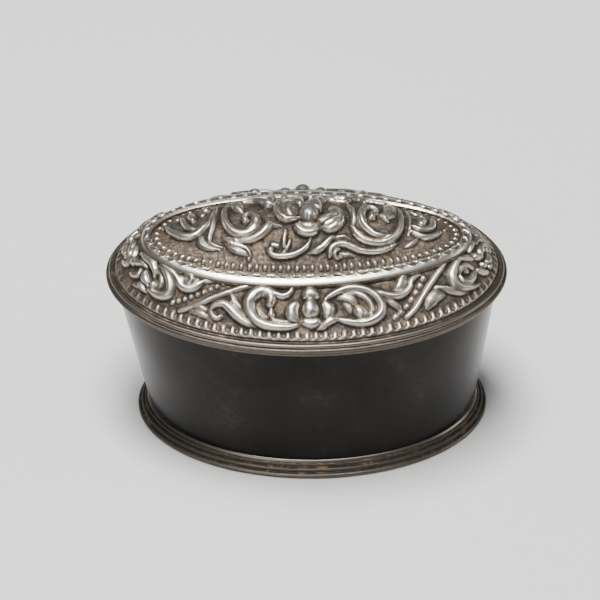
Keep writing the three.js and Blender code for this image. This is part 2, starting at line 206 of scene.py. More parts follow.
# A sheet being worked from behind and chased from the front. It knows each point's place and outward
# direction in mm, and how far the point is raised.
class WorkedSheet:
    def __init__(self, places, layOut, wraps, fullness=1.0, matting=0.0):
        self.places = places
        self.layOut = layOut
        self.wraps = wraps
        self.fullness = fullness
        self.matting = matting
        self.unevenness = 0.022
        rows = np.gradient(places, axis=0)
        if wraps:
            wide = np.concatenate([places[:, -2:], places, places[:, :2]], axis=1)
            columns = np.gradient(wide, axis=1)[:, 2:-2]
        else:
            columns = np.gradient(places, axis=1)
        outward = np.cross(columns, rows)
        outward /= np.maximum(np.linalg.norm(outward, axis=2, keepdims=True), 1e-9)
        if outward[..., 2].mean() < 0:
            outward = -outward
        self.outward = outward
        self.raised = np.zeros(places.shape[:2])

    # One raised form along a drawn line. Creases are lines chased along it: (side from -1 to 1, depth)
    def raiseForm(self, points, widths, lifts, creases=(), groove=0.2, flatness=2.2):
        line = self.layOut(smoothLine(points))
        length = np.concatenate([[0], np.cumsum(np.linalg.norm(np.diff(line, axis=0), axis=1))])
        share = length / max(length[-1], 1e-9)
        width = np.interp(share, np.linspace(0, 1, len(widths)), widths) * self.fullness
        lift = np.interp(share, np.linspace(0, 1, len(lifts)), lifts)
        reach = width.max() + 0.5
        low = line.min(axis=0) - reach
        high = line.max(axis=0) + reach
        near = np.all((self.places > low) & (self.places < high), axis=2)
        if not near.any():
            return
        spots = self.places[near]
        outward = self.outward[near]
        ratio = np.full(len(spots), 9.0)
        gap = np.full(len(spots), 9.0)
        liftHere = np.zeros(len(spots))
        widthHere = np.ones(len(spots))
        side = np.zeros(len(spots))
        for k in range(len(line) - 1):
            run = line[k + 1] - line[k]
            along = np.clip((spots - line[k]) @ run / max(run @ run, 1e-12), 0, 1)
            off = spots - line[k] - along[:, None] * run
            distance = np.linalg.norm(off, axis=1)
            w = width[k] * (1 - along) + width[k + 1] * along
            closer = distance / w < ratio
            ratio[closer] = (distance / w)[closer]
            gap[closer] = (distance - w)[closer]
            liftHere[closer] = (lift[k] * (1 - along) + lift[k + 1] * along)[closer]
            widthHere[closer] = w[closer]
            turn = np.einsum("ij,ij->i", np.cross(run, off), outward)
            side[closer] = (np.sign(turn) * distance / w)[closer]
        inside = np.clip(1 - ratio ** flatness, 0, 1)
        form = liftHere * (inside ** 0.6 - 0.10 * side * np.clip(widthHere - 0.4, 0, 0.5) / 0.5)
        for place, depth in creases:
            form -= depth * np.exp(-(((side - place) * widthHere / 0.13) ** 2)) * inside ** 0.4
        now = self.raised[near]
        outside = now - groove * np.exp(-((np.maximum(gap, 0) / 0.16) ** 2))
        self.raised[near] = np.where(ratio < 1, np.maximum(now, form), outside)

    def raiseAll(self, forms):
        for form in forms:
            self.raiseForm(*form)

    # Bright where a point stands above its surroundings, grimy where it lies below them
    def grime(self):
        near = self.raised - blurred(self.raised, 3, self.wraps)
        wide = self.raised - blurred(self.raised, 9, self.wraps)
        high = np.clip(self.raised / 1.1, 0, 1)
        return np.clip(0.64 - 0.40 * high - 1.1 * near - 0.5 * wide, 0, 1)

    def finished(self, smoothing=1):
        relief = blurred(self.raised, smoothing, self.wraps) if smoothing else self.raised
        # the ground between the forms is dotted all over with a blunt punch
        dots = blurred(np.random.default_rng(11).normal(size=relief.shape), 1, self.wraps)
        relief = relief + self.matting * dots * np.clip(1 - relief / 0.3, 0, 1)
        # and no form is quite even
        uneven = blurred(np.random.default_rng(5).normal(size=relief.shape), 4, self.wraps)
        relief = relief + self.unevenness * uneven / uneven.std() * np.clip(relief / 0.5, 0, 1)
        return self.places + self.outward * relief[..., None]


# A flat sheet of many small squares, and its points in rows from low to high and left to right
def addSheet(name, along, across):
    deselectAll()
    bpy.ops.mesh.primitive_grid_add(x_subdivisions=along, y_subdivisions=across, size=2)
    piece = bpy.context.object
    piece.name = name
    flat = np.zeros(len(piece.data.vertices) * 3)
    piece.data.vertices.foreach_get("co", flat)
    flat = flat.reshape(-1, 3).round(6)
    order = np.lexsort((flat[:, 0], flat[:, 1])).reshape(-1, len(np.unique(flat[:, 0])))
    return piece, order, flat[order][..., 0], flat[order][..., 1]


def setPoints(piece, order, places, values):
    mesh = piece.data
    points = np.zeros(len(mesh.vertices) * 3)
    mesh.vertices.foreach_get("co", points)
    points = points.reshape(-1, 3)
    points[order.ravel()] = places.reshape(-1, 3) * mm
    mesh.vertices.foreach_set("co", points.ravel())
    for name, value in values.items():
        layer = mesh.attributes.get(name) or mesh.attributes.new(name, "FLOAT", "POINT")
        full = np.full(len(mesh.vertices), float(np.median(value)), np.float32)
        full[order.ravel()] = value.ravel()
        layer.data.foreach_set("value", full)
    mesh.update()


# A sheet bent round until its ends and its two edges meet
def closeSheet(piece, order, places, values):
    wrapped = lambda field: np.concatenate([field, field[:1]], axis=0)
    joined = lambda field: np.concatenate([wrapped(field), wrapped(field)[:, :1]], axis=1)
    setPoints(piece, order, joined(places), {name: joined(value) for name, value in values.items()})
    pick(piece)
    bpy.ops.object.mode_set(mode="EDIT")
    bpy.ops.mesh.select_all(action="SELECT")
    bpy.ops.mesh.remove_doubles(threshold=0.0000005)
    bpy.ops.mesh.normals_make_consistent(inside=False)
    bpy.ops.object.mode_set(mode="OBJECT")


# Angles round an oval that give even steps along it, from the +X end by way of the near side
def evenTurns(halfLength, halfWidth, count):
    fine = np.linspace(0, 2 * np.pi, 7201)
    step = np.hypot(halfLength * np.sin(fine), halfWidth * np.cos(fine))
    run = np.concatenate([[0], np.cumsum((step[1:] + step[:-1]) / 2 * np.diff(fine))])
    return np.interp(np.arange(count) / count * run[-1], run, fine), run[-1]


# ---- finishes


class Signal:
    def __init__(self, finish, socket):
        self.finish = finish
        self.socket = socket

    def sum(self, operation, first, second):
        return self.finish.add("ShaderNodeMath", {"operation": operation}, {0: first, 1: second})

    def __add__(self, other):
        return self.sum("ADD", self, other)

    def __radd__(self, other):
        return self.sum("ADD", other, self)

    def __sub__(self, other):
        return self.sum("SUBTRACT", self, other)

    def __rsub__(self, other):
        return self.sum("SUBTRACT", other, self)

    def __mul__(self, other):
        return self.sum("MULTIPLY", self, other)

    def __rmul__(self, other):
        return self.sum("MULTIPLY", other, self)


class Finish:
    def __init__(self, name):
        self.material = bpy.data.materials.new(name)
        self.material.use_nodes = True
        self.tree = self.material.node_tree
        self.tree.nodes.clear()

    def add(self, kind, settings=None, sockets=None, output=0):
        node = self.tree.nodes.new(kind)
        for name, value in (settings or {}).items():
            if name == "stops":
                ramp = node.color_ramp
                while len(ramp.elements) < len(value):
                    ramp.elements.new(0.5)
                for element, (place, colour) in zip(ramp.elements, value):
                    element.position = place
                    element.color = (*colour, 1)
            else:
                setattr(node, name, value)
        for name, value in (sockets or {}).items():
            if isinstance(value, Signal):
                self.tree.links.new(value.socket, node.inputs[name])
            else:
                node.inputs[name].default_value = value
        return Signal(self, node.outputs[output])

    def between(self, value, low, high):
        return self.add(
            "ShaderNodeMapRange", {"interpolation_type": "SMOOTHSTEP"},
            {"Value": value, "From Min": low, "From Max": high},
        )

    def close(self, shader):
        self.add("ShaderNodeOutputMaterial", {}, {"Surface": shader}) if False else None
        end = self.tree.nodes.new("ShaderNodeOutputMaterial")
        self.tree.links.new(shader.socket, end.inputs["Surface"])
        return self.material


# Oxidised silver: bright where handling has worn it, brown-black in the hollows. Partly painted shade too: every value
# is kept low, and the ramp for the rims and foot lower still, so the metal looks as if it mirrored a dark room
silverColours = {
    "relief": [(0.0, (0.56, 0.515, 0.445)), (0.28, (0.32, 0.285, 0.235)), (0.55, (0.15, 0.122, 0.094)),
               (0.8, (0.05, 0.039, 0.03)), (1.0, (0.014, 0.011, 0.009))],
    "rim": [(0.0, (0.26, 0.23, 0.195)), (0.35, (0.10, 0.086, 0.07)), (0.7, (0.033, 0.027, 0.021)),
            (1.0, (0.012, 0.01, 0.008))],
}


def makeSilver(name, colours, worn=0.0, matting=0.0, shine=0.26):
    finish = Finish(name)
    place = finish.add("ShaderNodeTexCoord", output=3)
    grime = finish.add("ShaderNodeAttribute", {"attribute_name": "grime"}, output=2)
    patches = finish.add("ShaderNodeTexNoise", {}, {"Vector": place, "Scale": 170.0, "Detail": 5.0, "Roughness": 0.6})
    specks = finish.add("ShaderNodeTexNoise", {}, {"Vector": place, "Scale": 1500.0, "Detail": 3.0, "Roughness": 0.65})
    scratches = finish.add("ShaderNodeTexNoise", {}, {"Vector": place, "Scale": 5200.0, "Detail": 2.0})
    ground = finish.between(grime, 0.35, 0.65)
    tarnish = grime - worn + (patches - 0.5) * 0.16 + (specks - 0.5) * (ground * 0.6 + 0.14)
    colour = finish.add("ShaderNodeValToRGB", {"stops": colours}, {"Fac": tarnish})
    rough = finish.between(tarnish, 0.05, 0.95) * 0.34 + shine + (specks - 0.5) * 0.12
    metal = 1 - finish.between(tarnish, 0.5, 1.05) * 0.5
    height = scratches * 0.05 + specks * ground * 0.2
    if matting:
        dots = finish.add("ShaderNodeTexVoronoi", {"feature": "F1"}, {"Vector": place, "Scale": 1900.0, "Randomness": 0.8})
        height = height + dots * ground * matting
    bump = finish.add("ShaderNodeBump", {}, {"Strength": 0.7, "Distance": 0.00006, "Height": height})
    dirt = finish.add("ShaderNodeTexNoise", {}, {"Vector": place, "Scale": 330.0, "Detail": 4.0, "Roughness": 0.7})
    dusty = finish.between(dirt, 0.5, 0.72) * finish.between(grime, 0.42, 0.66) * 0.5
    colour = finish.add("ShaderNodeMix", {"data_type": "RGBA"}, {0: dusty, 6: colour, 7: (0.30, 0.21, 0.13, 1)}, 2)
    shader = finish.add("ShaderNodeBsdfPrincipled", {}, {
        "Base Color": colour, "Roughness": rough, "Metallic": metal, "Normal": bump,
    })
    return finish.close(shader)


# Painted shade: the plain wall, the lid's flange and the box's floor are coloured near black. This stands in for the
# shadow under the lid's rim and for dark surroundings mirrored in polished silver. Clouds and wipes vary it faintly.
def makeShadowBlackSilver(name):
    finish = Finish(name)
    place = finish.add("ShaderNodeTexCoord", output=3)
    clouds = finish.add("ShaderNodeTexNoise", {}, {"Vector": place, "Scale": 90.0, "Detail": 4.0, "Roughness": 0.55})
    wipes = finish.add("ShaderNodeTexNoise", {}, {"Vector": place, "Scale": 900.0, "Detail": 3.0})
    colour = finish.add("ShaderNodeValToRGB", {"stops": [
        (0.3, (0.006, 0.0056, 0.0052)), (0.6, (0.011, 0.010, 0.009)), (0.8, (0.022, 0.0195, 0.017)),
    ]}, {"Fac": clouds + (wipes - 0.5) * 0.3})
    rough = clouds * 0.16 + wipes * 0.08 + 0.12
    bump = finish.add("ShaderNodeBump", {}, {"Strength": 0.35, "Distance": 0.00003, "Height": wipes})
    shader = finish.add("ShaderNodeBsdfPrincipled", {}, {
        "Base Color": colour, "Roughness": rough, "Metallic": 0.85, "Normal": bump,
    })
    return finish.close(shader)


reliefSilver = makeSilver("reliefSilver", silverColours["relief"], worn=0.0, matting=0.9, shine=0.34)
ringSilver = makeSilver("ringSilver", silverColours["relief"], worn=0.15, shine=0.3)
rimSilver = makeSilver("rimSilver", silverColours["rim"], worn=0.0, shine=0.33)
bodySilver = makeShadowBlackSilver("bodySilver")
print("finishes made")


# ---- the box


foot = {"landAtGround": 1.4, "sheet": 0.7, "ledge": 1.0, "dents": 0.05}


def makeFoot():
    length = box["lidLength"] - 2 * box["footSetInAtEnds"]
    width = box["lidWidth"] - 2 * box["footSetInAtSides"]
    flare = box["footFlare"]
    inner = flare + 1.0 + 0.3 + foot["ledge"]
    steps = [(foot["landAtGround"], 0.0, 0.8), (0.5, 0.0, 0.7)]
    steps += reed(0.42, 0.42, 0.42, -70, 75, 8, 0.25)
    steps += [(0.5, 0.87, 0.95)]
    steps += reed(0.42 + 0.62, 1.28, 0.38, -35, 80, 7, 0.35)
    steps += [(1.15, 1.7, 0.95)]
    steps += reed(1.62, 2.02, 0.3, -35, 80, 6, 0.4)
    # The flare's up-facing top, the rows at 2.5 and 2.68 mm, is kept almost free of grime. This is wear, and also a
    # painted highlight where light from above catches the top of the foot.
    steps += [(1.66, 2.36, 0.7), (1.78, 2.5, 0.12), (1.93, 2.68, 0.05), (flare - 0.02, box["footTop"], 0.3)]
    steps += [(inner, box["footTop"], 0.9), (inner, box["footTop"] - foot["sheet"], 0.9)]
    piece = layOval("footMoulding", rowsFrom(length, width, steps, box["footShift"]))
    keepGrimeAndShade(piece, steps)
    handled(piece, foot["dents"], 7)
    smoothShade(piece, 50)
    settle(piece, "base", "foot_ring", rimSilver)


wall = {"thickness": 1.0, "dents": 0.10}


def wallRow(height, inset=0.0):
    share = (height - box["footTop"]) / (box["wallTop"] - box["footTop"])
    bottomLength = box["lidLength"] / 2 - box["footSetInAtEnds"] - box["footFlare"]
    bottomWidth = box["lidWidth"] / 2 - box["footSetInAtSides"] - box["footFlare"]
    mouthLength = box["lidLength"] / 2 - box["lidOverhang"]
    mouthWidth = box["lidWidth"] / 2 - box["lidOverhang"]
    return (
        bottomLength + (mouthLength - bottomLength) * share - inset,
        bottomWidth + (mouthWidth - bottomWidth) * share - inset,
        height,
        box["footShift"] * (1 - share),
    )


def makeWall():
    low, high = box["footTop"], box["wallTop"]
    rows = [wallRow(low + 0.01 + (high - low - 0.02) * i / 24) for i in range(25)]
    rows += [wallRow(high - 0.01, wall["thickness"])]
    rows += [wallRow(high - (high - low) * i / 6, wall["thickness"]) for i in range(1, 7)]
    piece = layOval("plainWall", rows)
    handled(piece, wall["dents"], 16)
    smoothShade(piece, 50)
    settle(piece, "base", "base_wall", bodySilver)


def makeSeat():
    out = box["lidOverhang"]
    steps = [(out - 0.05, box["wallTop"], 0.8)]
    steps += reed(out - 0.42, box["wallTop"] + 0.5, 0.47, -80, 80, 8, 0.3)
    steps += [(out + 0.1, box["seatTop"] - 0.02, 0.5), (out + 1.0, box["seatTop"] - 0.02, 0.6), (out + 1.0, box["wallTop"], 0.8)]
    piece = layOval("seatWire", rowsFrom(box["lidLength"], box["lidWidth"], steps))
    keepGrimeAndShade(piece, steps)
    smoothShade(piece, 50)
    settle(piece, "base", "seat_wire", rimSilver)


flange = {"depth": 4.5, "thickness": 0.9, "runningGap": 0.3}


def flangeRow(height, inset=0.0):
    narrow = wallRow(box["rimBottom"] - flange["depth"], wall["thickness"])
    clear = flange["runningGap"] + narrow[3] + inset
    return (narrow[0] - clear, narrow[1] - clear, height, 0.0)


def makeFlange():
    low, high = box["rimBottom"] - flange["depth"], box["rimBottom"]
    thick = flange["thickness"]
    rows = [flangeRow(low, 0.25), flangeRow(low + 0.25), flangeRow(low + 2.2), flangeRow(high - 0.01)]
    rows += [flangeRow(high - 0.01, thick), flangeRow(low + 0.25, thick), flangeRow(low, thick - 0.25)]
    piece = layOval("lidFlange", rows)
    handled(piece, 0.05, 12)
    smoothShade(piece, 50)
    settle(piece, "lid", "lid_flange", bodySilver)


rim = {"height": 1.6, "dents": 0.05}


def makeRim():
    length, width, bottom = box["lidLength"], box["lidWidth"], box["rimBottom"]
    inner = length / 2 - flangeRow(bottom, flange["thickness"])[0]
    steps = [(2.2, bottom, 0.7), (0.7, bottom, 0.6)]
    steps += reed(0.47, bottom + 0.46, 0.46, -75, 68, 9, 0.3)
    steps += [(0.5, bottom + 0.94, 0.97)]
    steps += reed(0.98, bottom + 1.16, 0.44, -30, 92, 9, 0.08)
    steps += [(1.28, bottom + 1.56, 0.5), (1.45, bottom + 1.47, 0.97), (1.62, bottom + 1.56, 0.6), (1.9, bottom + 1.58, 0.5)]
    steps += [(inner, bottom + 1.58, 0.8), (inner, bottom, 0.8)]
    piece = layOval("lidRim", rowsFrom(length, width, steps))
    keepGrimeAndShade(piece, steps)
    handled(piece, rim["dents"], 7)
    smoothShade(piece, 50)
    settle(piece, "lid", "lid_rim", rimSilver)


# The frieze is drawn by the turn round the oval in degrees, 90 at the near side, and the share up its slope
frieze = {"around": 1180, "up": 72, "bulge": 0.35, "sheet": 0.9, "inside": 6, "pitch": 1.68, "fullness": 1.3, "matting": 0.12}


def friezePlace(turn, share):
    bulge = frieze["bulge"] * np.sin(np.pi * np.clip(share, 0, 1))
    footLength = box["lidLength"] / 2 - box["rimLand"]
    footWidth = box["lidWidth"] / 2 - box["rimLand"]
    topLength = box["ringLength"] / 2 - 0.45
    topWidth = box["ringWidth"] / 2 - 0.45
    halfLength = footLength + (topLength - footLength) * share + bulge
    halfWidth = footWidth + (topWidth - footWidth) * share + bulge
    taper = box["ringTaper"] * share
    rise = box["rimTop"] + (box["friezeTop"] - box["rimTop"]) * share
    flat = np.stack([
        halfLength * np.cos(turn),
        -halfWidth * np.sin(turn) * (1 - taper * np.cos(turn)),
        rise + 0 * turn,
    ], axis=-1)
    return flat


# Forms on the frieze: line, half-widths in mm, heights in mm, creases
longPanel = [
    # dividers, with a row of beads along the left one and bosses along the right one
    ([(132.6, 0.27), (130.2, 0.36), (125, 0.57), (120.6, 0.745), (112.3, 0.955), (106, 1.01)], [0.36, 0.44, 0.46, 0.46, 0.42, 0.3], [0.5, 0.58, 0.6, 0.6, 0.6, 0.4]),
    ([(58.0, 0.24), (54.2, 0.365), (49.8, 0.55), (45.4, 0.70), (41, 0.815), (37.2, 0.90), (32.6, 0.99)], [0.36, 0.42, 0.42, 0.42, 0.42, 0.4, 0.3], [0.5, 0.62, 0.64, 0.64, 0.62, 0.6, 0.5]),
    # small leaves left of the left scroll
    ([(128.6, 0.31), (126.2, 0.35), (123.8, 0.33), (121.8, 0.28)], [0.2, 0.46, 0.5, 0.2], [0.35, 0.5, 0.55, 0.4], [(0.0, 0.1)]),
    ([(127.2, 0.41), (124.8, 0.45), (122.6, 0.42)], [0.25, 0.46, 0.2], [0.35, 0.5, 0.4]),
    ([(116.4, 0.84), (115.0, 0.74), (113.2, 0.60), (110.9, 0.46), (108.2, 0.34)], [0.2, 0.6, 0.85, 0.8, 0.4], [0.4, 0.6, 0.65, 0.6, 0.4], [(-0.4, 0.16), (0.2, 0.16)]),
    ([(117.6, 0.36), (118.7, 0.31), (120.3, 0.35), (121.6, 0.46), (120.3, 0.575), (117.6, 0.615), (115.0, 0.55), (112.3, 0.44), (109.2, 0.34), (105.6, 0.26)], [0.34, 0.38, 0.42, 0.5, 0.62, 0.74, 0.78, 0.72, 0.6, 0.25], [0.6, 0.6, 0.7, 0.8, 0.9, 1.0, 1.0, 0.9, 0.75, 0.4], [(0.35, 0.12)]),
    # left C-scroll: its leafy inside, its thick back, and the branch to the right
    ([(106.2, 0.62), (105.0, 0.5), (102.8, 0.39), (100.4, 0.33)], [0.4, 0.75, 0.8, 0.4], [0.4, 0.5, 0.5, 0.35], [(-0.3, 0.14), (0.3, 0.14)]),
    ([(101.4, 0.60), (101.2, 0.50), (100.2, 0.40)], [0.3, 0.5, 0.3], [0.6, 0.7, 0.5]),
    ([(100.6, 0.40), (97.4, 0.35), (94.2, 0.33), (92.4, 0.36)], [0.4, 0.62, 0.6, 0.3], [0.5, 0.65, 0.6, 0.4], [(0.1, 0.1)]),
    ([(92.4, 0.33), (94.6, 0.285), (97.6, 0.265), (100.8, 0.275), (103.9, 0.32), (106.9, 0.43), (108.8, 0.57), (109.2, 0.71), (107.8, 0.84), (105.4, 0.915), (103.0, 0.89), (101.7, 0.80), (101.9, 0.70)], [0.3, 0.45, 0.6, 0.68, 0.72, 0.7, 0.74, 0.84, 0.94, 1.0, 0.96, 0.86, 0.7], [0.6, 0.8, 0.9, 0.95, 1.0, 1.0, 1.05, 1.2, 1.3, 1.3, 1.25, 1.2, 1.1], [(-0.5, 0.1)]),
    ([(104.6, 0.80), (104.5, 0.745)], [0.3, 0.3], [0.3, 0.3], (), 0.3),
    ([(107.2, 0.82), (107.5, 0.68), (106.9, 0.53), (105.0, 0.41)], [0.22, 0.34, 0.36, 0.15], [0.85, 0.95, 0.85, 0.6]),
    ([(102.6, 0.94), (100.4, 0.87), (97.8, 0.84), (95.8, 0.89), (95.0, 0.98)], [0.5, 0.6, 0.55, 0.46, 0.32], [1.05, 1.05, 0.95, 0.9, 0.8], [(0.3, 0.08)]),
    # right C-scroll with its boss, inner leaf, stem and branch
    ([(86.6, 0.24), (85.2, 0.27), (84.1, 0.34), (82.4, 0.39), (80.4, 0.41)], [0.25, 0.5, 0.6, 0.6, 0.4], [0.5, 0.7, 0.85, 0.85, 0.7]),
    ([(76.2, 0.66), (75.4, 0.55)], [0.9, 0.8], [0.35, 0.35]),
    ([(79.4, 0.77), (77.4, 0.775), (75.0, 0.73), (74.0, 0.63)], [0.25, 0.62, 0.75, 0.5], [0.6, 0.8, 0.8, 0.6], [(0.0, 0.14)]),
    ([(78.6, 0.845), (75.0, 0.84), (71.3, 0.77), (69.4, 0.66), (68.9, 0.52), (70.4, 0.41), (73.6, 0.385)], [0.2, 0.38, 0.46, 0.5, 0.5, 0.42, 0.3], [0.6, 0.8, 0.85, 0.85, 0.8, 0.75, 0.6]),
    ([(85.2, 0.70), (83.8, 0.765), (81.6, 0.84), (78.6, 0.90), (75.2, 0.93), (71.4, 0.90), (68.0, 0.82), (65.9, 0.69), (65.3, 0.53), (66.8, 0.385), (70.2, 0.30), (74.0, 0.295), (77.4, 0.345), (80.4, 0.40)], [0.15, 0.36, 0.5, 0.6, 0.64, 0.66, 0.7, 0.72, 0.72, 0.7, 0.68, 0.6, 0.5, 0.3], [0.7, 0.9, 1.0, 1.05, 1.1, 1.1, 1.1, 1.1, 1.05, 1.0, 1.0, 0.95, 0.85, 0.6], [(0.45, 0.12)]),
    ([(73.0, 0.50), (72.6, 0.46)], [1.0, 1.0], [1.2, 1.2], (), 0.35),
    ([(66.4, 0.83), (64.0, 0.755), (61.2, 0.69), (58.4, 0.665), (55.6, 0.70), (53.3, 0.775), (51.9, 0.87), (49.6, 0.925), (47.2, 0.94)], [0.3, 0.55, 0.62, 0.62, 0.55, 0.48, 0.44, 0.4, 0.2], [0.8, 0.9, 0.95, 0.95, 0.9, 0.85, 0.8, 0.7, 0.5], [(0.3, 0.1)]),
    ([(54.0, 0.99), (55.0, 0.92), (57.0, 0.82), (59.6, 0.765)], [0.5, 0.85, 0.75, 0.2], [0.65, 0.85, 0.8, 0.5], [(0.1, 0.14)]),
    ([(63.8, 0.64), (61.6, 0.56), (59.8, 0.46), (60.0, 0.36)], [0.35, 0.55, 0.55, 0.2], [0.5, 0.65, 0.6, 0.4], [(0.0, 0.12)]),
    # the flower over all of them
    ([(93.4, 0.69), (94.5, 0.61), (94.4, 0.50), (93.2, 0.43)], [0.6, 1.0, 1.05, 0.6], [1.0, 1.15, 1.15, 0.9], [(0.35, 0.14)], 0.12),
    ([(84.0, 0.68), (82.9, 0.60), (83.2, 0.50)], [0.6, 1.0, 0.85], [1.0, 1.1, 1.0], [(-0.2, 0.1)], 0.12),
    ([(90.3, 0.375), (88.7, 0.35), (87.0, 0.375)], [0.7, 0.85, 0.7], [0.95, 1.05, 0.95], (), 0.14),
    ([(89.5, 0.86), (88.7, 0.88), (87.8, 0.86)], [1.0, 1.1, 1.0], [1.25, 1.3, 1.25], (), 0.12),
    ([(88.7, 0.745), (88.7, 0.67), (88.7, 0.58)], [0.3, 1.05, 1.35], [1.3, 1.6, 1.65], (), 0.25),
]
dividerBeads = [(136.6 - 2.06 * i, 0.385 + 0.0745 * i) for i in range(9)]
dividerBosses = [(46.6, 0.84), (49.3, 0.73), (51.9, 0.63), (54.5, 0.53), (57.1, 0.43), (59.7, 0.34), (61.9, 0.28)]
leftEnd = [
    ([(136.8, 0.88), (134.0, 0.865), (131.4, 0.89)], [1.0, 1.45, 1.0], [0.85, 1.0, 0.85]),
    ([(158, 1.03), (153, 1.03), (147.7, 1.0), (143.4, 0.945), (139.6, 0.87), (137.0, 0.785), (133.8, 0.745), (130.8, 0.79), (129.0, 0.89), (127.8, 0.99)], [0.2, 0.4, 0.58, 0.64, 0.68, 0.7, 0.68, 0.6, 0.5, 0.3], [0.5, 0.7, 0.95, 1.05, 1.1, 1.1, 1.05, 0.95, 0.8, 0.6], [(-0.3, 0.1)]),
    ([(136.6, 0.985), (134.4, 1.0), (132.7, 0.94), (133.0, 0.86), (134.8, 0.835)], [0.28, 0.42, 0.5, 0.46, 0.3], [1.1, 1.2, 1.25, 1.2, 1.1], (), 0.22),
    ([(127.5, 0.955), (125.5, 0.995), (123, 1.03)], [0.3, 0.42, 0.2], [0.6, 0.65, 0.4]),
    ([(158.5, 0.30), (155, 0.36), (152, 0.43)], [0.3, 0.5, 0.35], [0.4, 0.6, 0.5], [(0.0, 0.1)]),
    ([(170, 0.60), (166, 0.70), (162, 0.79), (158.5, 0.78)], [0.45, 0.55, 0.55, 0.3], [0.7, 0.8, 0.8, 0.6]),
    ([(178.6, 0.80), (173.6, 0.74), (171.0, 0.58), (172.4, 0.42), (177.0, 0.34)], [0.35, 0.5, 0.55, 0.5, 0.3], [0.6, 0.75, 0.8, 0.75, 0.5]),
    ([(179.5, 0.66), (176.6, 0.60), (176.4, 0.50), (179.0, 0.46)], [0.35, 0.45, 0.45, 0.3], [0.6, 0.7, 0.7, 0.6]),
    ([(168.6, 0.90), (163, 0.92), (158, 0.93), (154.5, 0.885), (151.6, 0.81), (150.6, 0.72)], [0.4, 0.55, 0.66, 0.7, 0.6, 0.35], [0.7, 0.85, 0.95, 1.05, 1.0, 0.7], [(0.2, 0.1)]),
    ([(168.6, 0.665), (168.0, 0.64)], [0.6, 0.6], [0.9, 0.9]),
    ([(164.6, 0.42), (161.6, 0.47), (159.6, 0.56), (161.0, 0.64)], [0.35, 0.55, 0.55, 0.35], [0.5, 0.75, 0.75, 0.5], [(0.0, 0.1)]),
    ([(157.0, 0.66), (154.8, 0.58), (152.0, 0.53)], [0.5, 0.75, 0.5], [0.7, 0.9, 0.8], [(0.1, 0.12)]),
    ([(155.8, 0.42), (153.0, 0.37), (150.0, 0.35)], [0.3, 0.5, 0.3], [0.6, 0.8, 0.6]),
    ([(149.0, 0.82), (146.4, 0.74), (145.0, 0.63), (146.2, 0.53)], [0.35, 0.5, 0.5, 0.35], [0.6, 0.8, 0.8, 0.6], [(0.1, 0.1)]),
    ([(148.4, 0.57), (147.9, 0.53)], [0.6, 0.6], [1.0, 1.0], (), 0.25),
    ([(151.6, 0.95), (147.3, 0.92), (143.4, 0.83), (140.6, 0.69), (139.6, 0.55), (141.2, 0.45), (144.6, 0.40), (148.6, 0.42), (151.0, 0.47)], [0.3, 0.58, 0.7, 0.76, 0.78, 0.74, 0.66, 0.5, 0.25], [0.7, 0.95, 1.05, 1.05, 1.05, 1.0, 0.95, 0.85, 0.6], [(0.4, 0.12)]),
]
rightEnd = [
    ([(49.6, 0.31), (47.6, 0.41), (44.6, 0.48), (41.2, 0.44)], [0.4, 0.95, 0.95, 0.3], [0.5, 0.75, 0.75, 0.4], [(-0.45, 0.12), (0.0, 0.16), (0.45, 0.12)]),
    ([(43.5, 0.63), (41.0, 0.59), (38.4, 0.48), (34.8, 0.36), (30.5, 0.26)], [0.22, 0.46, 0.58, 0.5, 0.2], [0.4, 0.65, 0.7, 0.65, 0.4], [(0.2, 0.1)]),
    ([(23.5, 0.93), (19.5, 0.87), (16.5, 0.79), (14, 0.73)], [0.45, 0.6, 0.55, 0.3], [0.8, 0.85, 0.75, 0.5]),
    ([(22.0, 0.24), (25.2, 0.27), (28.9, 0.34), (32.4, 0.43), (34.3, 0.56), (33.7, 0.70), (30.5, 0.81), (26.5, 0.895), (22.5, 0.92)], [0.2, 0.38, 0.58, 0.74, 0.82, 0.84, 0.74, 0.55, 0.35], [0.5, 0.75, 0.9, 1.0, 1.05, 1.05, 1.0, 0.9, 0.8], [(-0.4, 0.12), (0.3, 0.08)]),
    ([(29.6, 0.67), (26.8, 0.75), (22.6, 0.73), (20.8, 0.62)], [0.3, 0.5, 0.55, 0.4], [0.75, 0.9, 0.9, 0.75]),
    ([(30.2, 0.61), (29.8, 0.51), (27.2, 0.445), (23.6, 0.46), (20.6, 0.51)], [0.35, 0.58, 0.62, 0.55, 0.3], [0.85, 0.95, 0.95, 0.9, 0.7], [(0.2, 0.08)]),
    ([(25.6, 0.66), (25.0, 0.63)], [0.42, 0.42], [0.75, 0.75], (), 0.3),
    ([(18.6, 0.50), (16.2, 0.39), (13.4, 0.27)], [0.42, 0.62, 0.35], [0.8, 0.9, 0.6], [(0.0, 0.1)]),
    ([(12.2, 0.73), (11.0, 0.68)], [0.66, 0.62], [0.9, 0.9]),
    ([(12.6, 0.49), (11.6, 0.45)], [0.5, 0.5], [0.8, 0.8]),
    ([(8.8, 0.29), (6.0, 0.26)], [0.45, 0.35], [0.65, 0.55]),
    ([(8.4, 0.60), (5.4, 0.68), (1.8, 0.66), (0.4, 0.56)], [0.35, 0.55, 0.55, 0.3], [0.6, 0.8, 0.8, 0.6], [(0.0, 0.1)]),
    ([(8.0, 0.42), (4.6, 0.38), (1.4, 0.42)], [0.35, 0.55, 0.35], [0.6, 0.75, 0.6]),
    ([(13, 0.90), (8, 0.93), (2, 0.90)], [0.3, 0.5, 0.3], [0.6, 0.75, 0.5]),
]


def turnedRound(forms):
    return [([(turn + 180, share) for turn, share in form[0]], *form[1:]) for form in forms]


